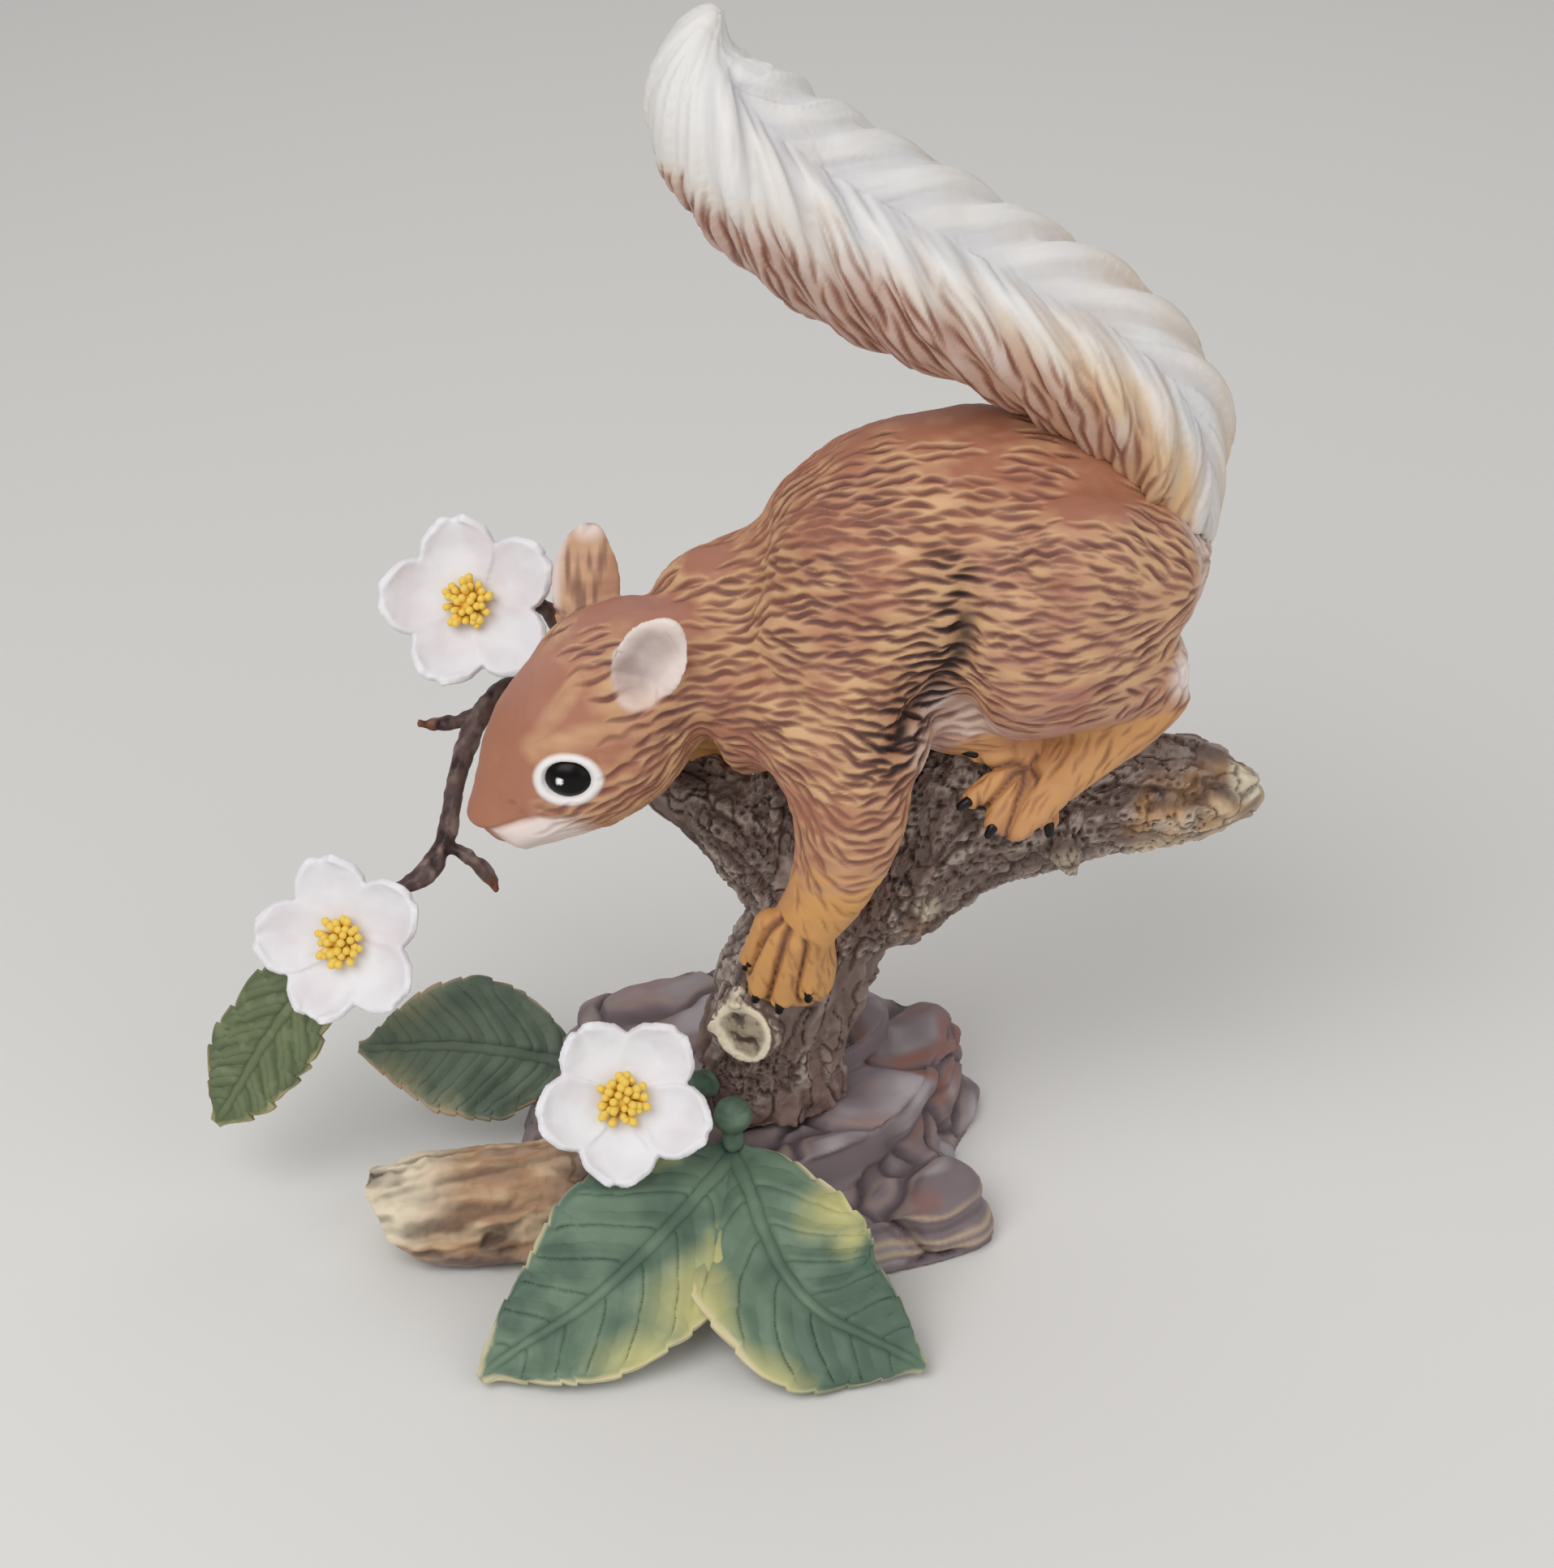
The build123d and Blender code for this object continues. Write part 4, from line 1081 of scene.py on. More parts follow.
    def eye_frames(self) -> list[tuple[np.ndarray, np.ndarray, np.ndarray, np.ndarray]]:
        """Give each eye's centre and the directions along it, above it and out of it."""
        left = np.array(self.head_left)
        outward = unit(np.array([-0.12, -0.985, 0.10]))
        above = unit(np.array([-0.12, 0.1, 1.0]) - outward * (np.array([-0.12, 0.1, 1.0]) @ outward))
        along = np.cross(outward, above)
        frames = [(np.array(self.eye), along, above, outward)]
        centre = np.array(self.skull)

        def mirror(row: np.ndarray) -> np.ndarray:
            """Reflect a direction across the head's middle."""
            return row - 2 * (row @ left) * left

        far_eye = centre + mirror(np.array(self.eye) - centre)
        frames.append((far_eye, mirror(along), mirror(above), mirror(outward)))
        return frames

    def eye_share(self, skin: Skin) -> np.ndarray:
        """Measure how far each vertex lies from the nearer eye: 1 on the white ring's outer edge."""
        share = np.full(len(skin.places), OUT_OF_REACH)
        wide, tall = self.ring_half_sizes
        for centre, along, above, outward in self.eye_frames():
            offset = skin.places - centre
            flat = np.hypot((offset @ along) / wide, (offset @ above) / tall)
            share = np.minimum(share, np.where(np.abs(offset @ outward) < 5, flat, OUT_OF_REACH))
        return share

    def mirrored(self, points: list[Triple]) -> list[Triple]:
        """Give the same points on the animal's other side."""
        return [(x, 2 * self.middle - y, z) for x, y, z in points]

    def on_both_sides(self, skin: Skin, line: list[Triple], reach: float, fade: float) -> np.ndarray:
        """Give 1 near a line and near the same line on the animal's other side."""
        return np.maximum(skin.near(line, reach, fade), skin.near(self.mirrored(line), reach, fade))

    def toe_seams(self, skin: Skin) -> np.ndarray:
        """Find the seams between neighbouring toes."""
        gaps = np.sort(np.stack([skin.gap([toe.root, toe.tip]) for toe in self.all_toes()]), axis=0)
        return bell(gaps[1], gaps[0], 0.5) * smooth_step(3.8, 2.8, gaps[0])

    def mouth_height(self, back: np.ndarray) -> np.ndarray:
        """Give the height of the mouth's corner line above the nose's axis."""
        return 2.6 - 0.12 * back

    def soften_jaw(self, skin: Skin) -> None:
        """Round off the chin before the mouth is cut."""
        back, above = self.in_head(skin.places)
        weights = smooth_step(0.5, -1.5, above - self.mouth_height(back)) * smooth_step(20, 12, back)
        weights = weights * skin.near([self.nose], 15.0, 4.0)
        weigh(skin.piece, "jaw", weights, 0.05)
        relax(skin.piece, 60, vertex_group="jaw")
        skin.read()

    def shape(self, skin: Skin) -> None:
        """Press in the eye sockets, the mouth, the seams of the toes and the creases."""
        self.soften_jaw(skin)
        eye = self.eye_share(skin)
        back, above = self.in_head(skin.places)
        lid = 0.28 * bell(eye, 0.82, 0.13)
        socket = -1.1 * smooth_step(0.76, 0.58, eye)
        under = above - self.mouth_height(back)
        mouth = -0.5 * bell(under, 0, 0.4) * smooth_step(0.8, 2.2, back) * smooth_step(9, 6, back)
        chin = 0.9 * np.exp(-((under + 3.0) / 2.2) ** 2 - ((back - 7.0) / 3.4) ** 2)
        drawn = -1.1 * smooth_step(3.4, 0.8, back) * smooth_step(0.6, -0.6, under)
        nose = 0.45 * bell(back, 0.4, 1.8) * smooth_step(-0.2, 1.2, under)
        head = lid + socket + mouth + chin + drawn + nose
        flank = -skin.near(self.crease, 0.2, 2.6) - skin.near(self.mirrored(self.crease), 0.2, 2.6)
        shin_line = [(29.0, -14.0, 78.0), (26.5, -14.5, 69.0), (23.0, -15.0, 61.0), (18.5, -15.5, 54.0)]
        shin = skin.near(shin_line, 1.5, 6.5)
        dip = skin.near([(4.0, 2.0, 112.0), (12.0, 3.0, 118.0)], 3.0, 9.0)
        trims = -2.2 * shin * smooth_step(0.0, 0.8, skin.normals[:, 0]) - 1.6 * dip
        skin.raise_by(head + flank + trims - 0.75 * self.toe_seams(skin))

    def flow(self, skin: Skin) -> np.ndarray:
        """Blend the directions in which the coat lies."""
        total = np.zeros_like(skin.places)
        for place, way in self.hands:
            for side in (1, -1):
                centre = np.array(place, float)
                lie = np.array(way, float)
                if side < 0:
                    centre[1] = 2 * self.middle - centre[1]
                    lie[1] = -lie[1]
                gap = np.sum((skin.places - centre) ** 2, axis=1)
                total += (1 / (gap + 30) ** 2)[:, None] * unit(lie)
        return unit(total)

    def ears_mask(self, skin: Skin) -> tuple[np.ndarray, np.ndarray, np.ndarray]:
        """Tell how much each vertex belongs to an ear, to an ear's inside and to its outer rim."""
        ears, inside, rims = np.zeros((3, len(skin.places)))
        for root, way, face, spread in (self.left_ear, self.right_ear):
            start, grow = np.array(root), np.array(way)
            tall = (skin.places - start) @ grow
            wide = (skin.places - start) @ np.array(spread)
            part = skin.near([tuple(start + grow * 3), tuple(start + grow * self.ear_length)], 5.5, 1.0)
            oval = np.hypot(np.minimum(tall - 11.5, 0) / 10.2, wide / 6.4)
            part = part * smooth_step(1.08, 0.96, oval)
            cup = part * smooth_step(-0.15, 0.35, skin.normals @ np.array(face))
            ears = np.maximum(ears, part)
            inside = np.maximum(inside, cup * (1 - 0.35 * smooth_step(6.5, 2.0, tall)))
            rims = np.maximum(rims, part * smooth_step(2.4, 4.6, wide + 0.25 * np.maximum(tall - 11, 0)))
        return ears, inside, rims

    def fur_density(self, skin: Skin) -> np.ndarray:
        """Tell where the carver scored hair: not on the back, the crown, the belly and the ears."""
        back, _ = self.in_head(skin.places)
        on_head = smooth_step(30, 24, back)
        up = skin.normals[:, 2] + 0.16 * rough(skin.places, 9.0, 45)
        body = smooth_step(0.99, 0.6, up) * smooth_step(-0.85, -0.4, up)
        crown = smooth_step(0.55, 0.2, skin.normals @ np.array(self.head_up)) * smooth_step(7, 12, back)
        density = body * (1 - on_head) + crown * on_head
        ears, _, _ = self.ears_mask(skin)
        density = density * (1 - ears) * (1 - 0.5 * self.feet(skin))
        return density * smooth_step(0.95, 1.1, self.eye_share(skin))

    def feet(self, skin: Skin) -> np.ndarray:
        """Tell how much each vertex belongs to a foot or a lower leg."""
        high = skin.places[:, 2]
        hind_line = [(60.0, -8.0, 89.0), (50.0, -8.0, 81.0), (41.0, -8.0, 76.0), (38.0, -11.0, 73.0)]
        hind = self.on_both_sides(skin, hind_line, 9.5, 2.5)
        hind = hind * smooth_step(93.0, 88.5, high + 0.1 * (55 - skin.places[:, 0]))
        front = skin.near([(17, -14, 64), (11, -15, 54), (9, -15, 44)], 9.5, 2) * smooth_step(78, 58, high)
        far = skin.near([(4, 13, 80), (-2, 16, 70), (-5, 16, 66)], 8.5, 2) * smooth_step(84, 76, high)
        return np.maximum.reduce([hind, front, far])

    def thighs(self, skin: Skin) -> np.ndarray:
        """Tell how much each vertex belongs to a thigh."""
        return self.on_both_sides(skin, [(48.0, -12.0, 108.0), (54.0, -12.0, 106.0)], 12.0, 8.0)

    def carve(self, skin: Skin) -> np.ndarray:
        """Score the coat and give the depth of the grooves."""
        flow = self.flow(skin)
        density = self.fur_density(skin)
        finer = np.maximum(0.8 * self.thighs(skin), self.feet(skin))
        bold = Graver(6.6, 0.43, 1.25, 0.28, 11).score(skin, flow, density * (1 - 0.3 * finer))
        fine = Graver(4.2, 0.25, 0.8, 0.08, 12).score(skin, flow, density * (0.16 + 0.5 * finer))
        groove = np.maximum(bold * (1 - 0.3 * self.feet(skin)), 0.65 * fine)
        soft = 0.28 * rough(skin.places, 6.0, 31) + 0.05 * ripple(skin.places, 1.3, 32)
        skin.raise_by(soft * (1 - 0.5 * finer) - 0.44 * groove)
        return groove

    def colour(self, skin: Skin, groove: np.ndarray) -> None:
        """Paint the masks of the coat, with painted shade along the crease between body and thigh and inside
        the near ear.
        """
        places = skin.places
        back, above = self.in_head(places)
        density = self.fur_density(skin)
        ears, inside, rims = self.ears_mask(skin)
        feet, thighs = self.feet(skin), self.thighs(skin)
        clouds, patches = rough(places, 7.0, 41), rough(places, 15.0, 44)
        streaks = ripple(places, (6.0, 2.0, 1.2), 46)
        under = smooth_step(-0.1, -0.6, skin.normals[:, 2] + 0.1 * streaks)
        scored = np.clip(0.66 + 0.55 * patches + 0.45 * streaks, 0.1, 1) * (1 - 0.1 * thighs)
        head_streaks = np.maximum.reduce([
            0.8 * skin.near([(-19.5, -11.5, 98.8), (-22.5, -13.4, 96.0), (-24.7, -14.7, 93.2)], 0.1, 0.9),
            0.7 * skin.near([(-21.0, -13.5, 96.2), (-25.0, -15.8, 91.0), (-27.5, -16.5, 87.5)], 0.5, 2.2),
            0.75 * skin.near([(-27.0, -17.5, 87.5), (-20.5, -18.5, 90.0), (-14.0, -17.5, 91.5)], 0.6, 2.2),
            0.75 * ears,
        ]) * (0.7 + 0.3 * streaks)
        skin.paint(Mask.RIDGE, np.maximum(density * scored * (1 - groove) + 0.14 * clouds, head_streaks))
        rosy = 0.28 * thighs + 0.8 * under * smooth_step(-2, 10, places[:, 0])
        crown = smooth_step(26, 12, skin.gap([(-15, -3, 97), (-22, -6, 92)]) * 2)
        crown = crown * smooth_step(0.2, 0.7, skin.normals[:, 2])
        skin.paint(Mask.ROSE, rosy + 0.35 * crown + 0.2 * patches)
        hind = smooth_step(24, 30, places[:, 0])
        ochre = smooth_step(0.25, 0.85, feet + 0.35 * streaks) * (1 - 0.3 * hind) * (0.85 + 0.15 * clouds)
        skin.paint(Mask.WARM, ochre)
        under_mouth = above - self.mouth_height(back) + 0.45 * np.clip(back - 9, 0, 9) + 0.3 * clouds
        jaw = smooth_step(0.5, -0.9, under_mouth)
        jaw = jaw * smooth_step(16, 9, back) * smooth_step(1.4, 2.6, back) * skin.near([self.nose], 15.0, 6.0)
        belly = skin.near([(31, -9, 84), (40, -8, 87)], 6.0, 6.0)
        belly = belly * smooth_step(95.5, 90.5, places[:, 2]) * (1 - feet)
        heel = skin.near([(66.5, -11, 96.5)], 1.5, 4.0)
        rump = 0.85 * skin.near([(70.0, -4, 116), (71.0, -6, 108), (70.0, -7, 99)], 2.2, 7.5)
        rump = rump * (0.75 + 0.25 * streaks)
        fringe = 0.6 + 0.6 * ripple(places, (1.6, 3.0, 1.1), 47)
        cuff = skin.near([(31, -13, 92), (32, -13, 81.5), (29, -13.5, 72), (24.5, -14, 64)], 1.0, 3.6)
        cuff = cuff * fringe
        tips = 0.8 * skin.near([tuple(np.array(self.right_ear[0]) + np.array((0.8, 3.5, 16.5)))], 1.5, 3.0)
        soft = np.maximum(0.55 * belly * (0.7 + 0.5 * streaks), 0.1 * ears)
        pale = np.maximum.reduce([jaw, soft, heel, rump, 0.9 * cuff, inside, 0.85 * rims, tips])
        skin.paint(Mask.PALE, pale)
        root, grow, _, spread = (np.array(row) for row in self.left_ear)
        fold = [root + grow * 4.5 - spread * 1.6, root + grow * 10.5 - spread * 0.4]
        shade = inside * smooth_step(5.0, 1.6, skin.gap(fold))
        lengthwise = smooth_step(-0.1, 0.7, ripple(places, (0.8, 3.0, 7.0), 48))
        lengthwise = ears * (1 - inside) * (1 - rims) * lengthwise
        marks = np.maximum.reduce([
            skin.near([(-29.5, -17.5, 79.0), (-24.0, -18.8, 78.3)], 0.4, 1.9),
            0.7 * skin.near([(-12.5, -16.0, 87.5), (-4.0, -15.0, 90.5)], 0.6, 4.5),
        ]) * smooth_step(-0.2, 0.5, ripple(places, (3.2, 2.0, 0.8), 49))
        wash = smooth_step(0.1, 0.9, groove) * (0.8 + 0.45 * clouds) * (1 - 0.7 * pale) * (1 - 0.3 * feet)
        skin.paint(Mask.GROOVE, np.maximum.reduce([
            wash, 0.55 * shade * (0.9 + 0.3 * clouds), 0.7 * lengthwise, 0.8 * marks, self.toe_seams(skin),
        ]))
        # painted shade: near black along the crease between body and thigh on both sides, and darker grooves
        # around it on the near side
        core = self.on_both_sides(skin, self.crease[1:], 0.3, 1.9)
        wide = skin.near(self.crease, 0.5, 9.0) * smooth_step(37.0, 32.5, places[:, 0])
        skin.paint(Mask.DEEP, np.maximum(core * (0.75 + 0.4 * streaks), wide * (0.12 + 1.5 * groove)))
        skin.paint(Mask.EDGE, smooth_step(1.06, 0.90, self.eye_share(skin)))

    def set_eyes(self) -> None:
        """Set a glazed ball in each socket, with a small painted glint."""
        for name, (centre, along, above, outward) in zip(("eye_left", "eye_right"), self.eye_frames()):
            ball = drop(name, centre, centre + outward * 0.01, 1.0, 1.0, 24)
            skin = Skin(ball)
            offset = skin.places - centre
            wide, deep, tall = self.eye_half_sizes
            skin.places = centre - outward * 1.15 + (
                np.outer(offset @ along, along) * wide + np.outer(offset @ above, above) * tall
                + np.outer(offset @ outward, outward) * deep
            )
            skin.write()
            flat = skin.places - (centre + along * 1.05 + above * 0.1)
            gap = np.hypot(flat @ along, flat @ above)
            skin.paint(Mask.EDGE, smooth_step(0.62, 0.42, gap) * (skin.normals @ outward > 0))
            smooth_shaded(ball)
            place_piece(ball, EYE.material())

    def set_claws(self) -> None:
        """Set the dark claws, one piece for each foot."""
        material = CLAW.material()
        far_toes = tuple(toe.mirrored(self.middle) for toe in self.hind_toes)
        for name, toes in (
            ("claws_foreleg_left", self.left_paw), ("claws_foreleg_right", self.right_paw),
            ("claws_hind_left", self.hind_toes), ("claws_hind_right", far_toes),
        ):
            claws = joined(name, [toe.claw("claw") for toe in toes])
            smooth_shaded(claws)
            place_piece(claws, material)


@dataclass
class Timber:
    """The bark: forked trunk with its sawn stub, and the fallen log with the roots."""

    voxel: float = 0.36
    trunk: list[Triple] = field(default_factory=lambda: [
        (6.2, 0, 1.4), (6.5, 0, 7.7), (6.2, 0, 16.3), (7, 0, 26.9), (10.7, 0, 37.4), (13.9, 0, 47),
    ])
    right: list[Triple] = field(default_factory=lambda: [
        (13.3, 0, 44.5), (24, 0.6, 54.4), (35.1, 1.3, 61.3), (47.2, 2, 65.3),
        (60.2, 2.8, 68.3), (68.3, 3.3, 69), (76.3, 3.7, 68.3), (81, 4, 69.7),
    ])
    left: list[Triple] = field(default_factory=lambda: [
        (14, 0, 41.2), (7.5, 3.8, 55.4), (-1.8, 9.3, 62.8),
        (-11.9, 14.7, 68.4), (-19.8, 17.9, 73.4), (-22, 19, 75),
    ])
    log: list[Triple] = field(default_factory=lambda: [
        (-8, -16.9, 8.3), (-14.8, -17.3, 8.2), (-27, -18, 8.3), (-40, -18.6, 7.6), (-56, -19.3, 7.2),
    ])
    stub_face: Triple = (2.3, -13.0, 35.6)
    stub_way: Triple = (-0.50, -0.86, 0.12)
    stub_radius: float = 5.4
    heart_radius: float = 3.5
    tree_nodes: tuple[str, ...] = ("trunk", "right_branch", "left_branch", "sawn_stub")
    ground_nodes: tuple[str, ...] = ("fallen_log", "long_root", "short_root")

    def build(self) -> None:
        """Build both pieces of wood."""
        material = BARK.material()
        tree = self.fused("bark_tree", self.tree_nodes, [
            drop("peg", (72, 2.2, 70.0), (79.6, 1.8, 71.4), 3.6, 1.75),
            drop("splinter", (66, -0.5, 66.0), (78.2, 0.6, 67.0), 4.4, 1.7),
            drop("low_splinter", (62, 0, 64.5), (72, 1.5, 63.6), 4.0, 1.6),
            drop("knot", (28.5, -5.6, 53.0), (30.0, -8.3, 55.0), 3.0, 1.5),
            drop("far_knot", (50.5, -5.8, 64.0), (51.5, -8.4, 62.8), 3.6, 2.3),
            drop("collar", (4.5, -7.5, 41.5), (1.5, -12.0, 40.5), 3.6, 1.6),
            drop("heartwood", (6.5, -6.0, 35.0), (4.0, -10.0, 35.2), 4.2, 4.1),
            drop("crotch", (7.5, 5.0, 57.0), (8.5, 6.0, 67.0), 7.0, 4.6),
        ])
        self.carve(tree, (self.trunk, self.right, self.left))
        self.paint_tree(tree)
        place_piece(tree.piece, material, self.tree_nodes)
        ground = self.fused("bark_ground", self.ground_nodes, [
            drop("log_end", (-48, -19, 7.6), (-56, -20, 8.6), 6.2, 5.4),
            drop("log_foot", (-30, -24, 5.0), (-46, -24, 4.4), 4.4, 3.6),
        ])
        self.carve(ground, (self.log,))
        self.paint_ground(ground)
        place_piece(ground.piece, material, self.ground_nodes)

    def fused(self, name: str, nodes: tuple[str, ...], lumps: list[bpy.types.Object]) -> Skin:
        """Fuse wooden solids and the lumps that the maker added to them.

        Args:
            name: Name of the piece.
            nodes: The solids.
            lumps: Extra drops of clay.

        Returns:
            The fused skin.
        """
        wood = copied(name, nodes)
        modify(wood, "DISPLACE", strength=0.2 * MM, mid_level=0.0)
        wood = joined(name, [*lumps, wood])
        remesh(wood, 0.7)
        wood = outer_shell(wood)
        if "fallen_log" in nodes:
            split_end = split_off(wood, "waste", (-55.2, -19, 12.0), (-0.857, 0.0, -0.516))
            bpy.data.objects.remove(split_end)
        relax(wood, 3)
        remesh(wood, self.voxel)
        wood = outer_shell(wood)
        relax(wood, 2)
        return Skin(wood)

    def stub_share(self, skin: Skin) -> tuple[np.ndarray, np.ndarray]:
        """Give each vertex's distance from the stub's axis and how much it looks along it."""
        offset = skin.places - np.array(self.stub_face)
        way = unit(np.array(self.stub_way))
        ahead = offset @ way
        gap = np.linalg.norm(offset - np.outer(ahead, way), axis=1)
        gap = gap + 0.8 * rough(skin.places, 4.0, 61)
        return np.where(np.abs(ahead) < 3.2, gap, 99), smooth_step(0.35, 0.75, skin.normals @ way)

    def carve(self, skin: Skin, lines: tuple[list[Triple], ...]) -> None:
        """Carve fibres, folds, pits and worm tracks, and keep them as masks."""
        best = np.full(len(skin.places), 1e9)
        grain_place = np.zeros_like(skin.places)
        for index, points in enumerate(lines):
            line = spine(points)
            along, _, offset = along_spine(skin.places, line)
            gap = np.linalg.norm(offset, axis=1) / (1.5 if index == 0 and len(lines) > 1 else 1.0)
            chosen = gap < best
            best = np.where(chosen, gap, best)
            sample = offset + np.outer(along, (0.05, 0.11, 0.07)) + 17.0 * index
            grain_place[chosen] = sample[chosen]
        places = skin.places
        warp = np.stack([rough(places, 7.0, 51 + axis) for axis in range(3)], axis=1)
        fibre = ripple(grain_place + 0.7 * warp, 1.3, 54)
        fold = rough(grain_place + 1.6 * warp, 4.2, 55, 2)
        bared = 1.0 if len(lines) > 1 else smooth_step(-30, -18, places[:, 0])
        crack = smooth_step(0.87, 0.98, 1 - np.abs(ripple(grain_place + 1.2 * warp, 2.4, 56))) * bared
        lump = rough(places, 8.0, 57)
        wormy = smooth_step(-0.35, 0.25, ripple(places, 13.0, 58) + 0.35 * (places[:, 2] - 42) / 20) * bared
        first, second = cells(places + 0.9 * warp, 1.35, 59)
        pit = smooth_step(0.40, 0.16, first) * wormy
        net = smooth_step(0.25, 0.05, second - first) * wormy
        worm = smooth_step(0.82, 0.96, 1 - np.abs(ripple(places + 0.8 * warp, 2.9, 67))) * wormy
        gap, facing = self.stub_share(skin)
        sawn = facing * smooth_step(self.stub_radius + 1.2, self.stub_radius - 0.2, gap)
        height = (
            0.55 * lump + 0.75 * fold + (0.16 + 0.22 * (1 - wormy)) * fibre - 0.45 * crack - 0.34 * worm
            - 0.42 * pit + 0.16 * net + 0.1 * ripple(places, 0.8, 60)
        )
        heart = sawn * smooth_step(self.heart_radius + 0.3, self.heart_radius - 0.6, gap)
        height = height * (1 - 0.85 * sawn) + heart * (0.5 * rough(places, 1.8, 62) - 0.1)
        foot = smooth_step(0.6, 2.0, places[:, 2])
        skin.raise_by(height * foot)
        hollow = smooth_step(0.1, -0.9, fibre) * 0.45 + smooth_step(-0.1, -0.9, fold) * 0.4
        dark = np.maximum.reduce([pit, crack * 0.85, worm * 0.55, hollow * (1.6 - 0.6 * bared)])
        outline = bell(gap, self.heart_radius, 0.35) * facing
        rings = np.maximum(smooth_step(0.1, -0.5, rough(places, 1.8, 62)) * heart, 0.5 * outline)
        skin.paint(Mask.GROOVE, dark * (1 - sawn) + rings)
        light = smooth_step(0.05, 0.85, 0.6 * fibre + 0.5 * fold + 0.3 * lump + 0.7 * net)
        skin.paint(Mask.RIDGE, light * (0.5 + 0.5 * wormy) * (1 - dark) * (1 - sawn))
        skin.paint(Mask.DEEP, 0.8 * heart)

    def paint_tree(self, skin: Skin) -> None:
        """Paint the pale ring of the stub, the splintered tip and the redder foot."""
        gap, facing = self.stub_share(skin)
        ring = facing * smooth_step(self.stub_radius + 1.0, self.stub_radius + 0.2, gap)
        ring = ring * smooth_step(self.heart_radius - 0.8, self.heart_radius - 0.1, gap)
        scar = 0.85 * skin.near([(-0.8, -12.4, 38.5), (0.6, -12.0, 42.5), (2.2, -11.8, 46.5)], 1.0, 1.8)
        peg = skin.near([(77.5, 1.8, 71.2), (81.5, 1.8, 71.6)], 2.4, 2.0)
        torn = skin.near([(66, -3, 64.0), (74, -2, 65.5), (80, 0, 67.2)], 3.6, 3.0)
        torn = torn * (0.55 + 0.45 * ripple(skin.places, (6.0, 1.6, 1.6), 63))
        knot = 0.7 * skin.near([(30.0, -8.0, 55.2)], 1.5, 1.4)
        knot = knot + 0.6 * skin.near([(51.0, -8.0, 62.8)], 1.6, 1.6)
        skin.paint(Mask.PALE, np.maximum.reduce([ring, scar, peg, 0.75 * torn, knot]))
        warm = skin.near([(66, -2, 68), (78, 0, 68)], 5.0, 4.0)
        warm = np.maximum(warm, 0.6 * skin.near([(28.5, -6, 53.0)], 2.5, 2.0))
        skin.paint(Mask.WARM, warm * (0.5 + 0.5 * ripple(skin.places, 2.4, 64)))
        low = smooth_step(40, 14, skin.places[:, 2]) * 0.75
        skin.paint(Mask.EDGE, low * (0.7 + 0.3 * ripple(skin.places, 5.0, 65)))

    def paint_ground(self, skin: Skin) -> None:
        """Paint the bared pale wood of the log and its white broken end."""
        places = skin.places
        streak = 0.5 + 0.5 * ripple(places, (9.0, 1.5, 1.5), 66)
        bared = smooth_step(-18, -30, places[:, 0]) * (0.3 + 0.7 * streak)
        skin.paint(Mask.WARM, bared * smooth_step(1.5, 6.0, places[:, 2]))
        end = smooth_step(-40, -52, places[:, 0] - 0.35 * (places[:, 2] - 9))
        end = end * smooth_step(3.0, 7.0, places[:, 2])
        flecks = 0.45 * bared * smooth_step(0.4, 0.9, streak)
        skin.paint(Mask.PALE, np.maximum(end * (0.8 + 0.2 * streak), flecks))
        roots = 0.6 * skin.near([(12, -22, 18), (19.5, -25.0, 9.5)], 1.5, 2.5)
        roots = np.maximum(roots, 0.6 * skin.near([(20, -14, 22), (29.0, -17.0, 15.0)], 1.5, 2.5))
        skin.paint(Mask.EDGE, 0.4 * (places[:, 0] > -12) * (1 - roots))
        skin.paint(Mask.DEEP, roots * (0.7 + 0.4 * ripple(places, 3.0, 68)))


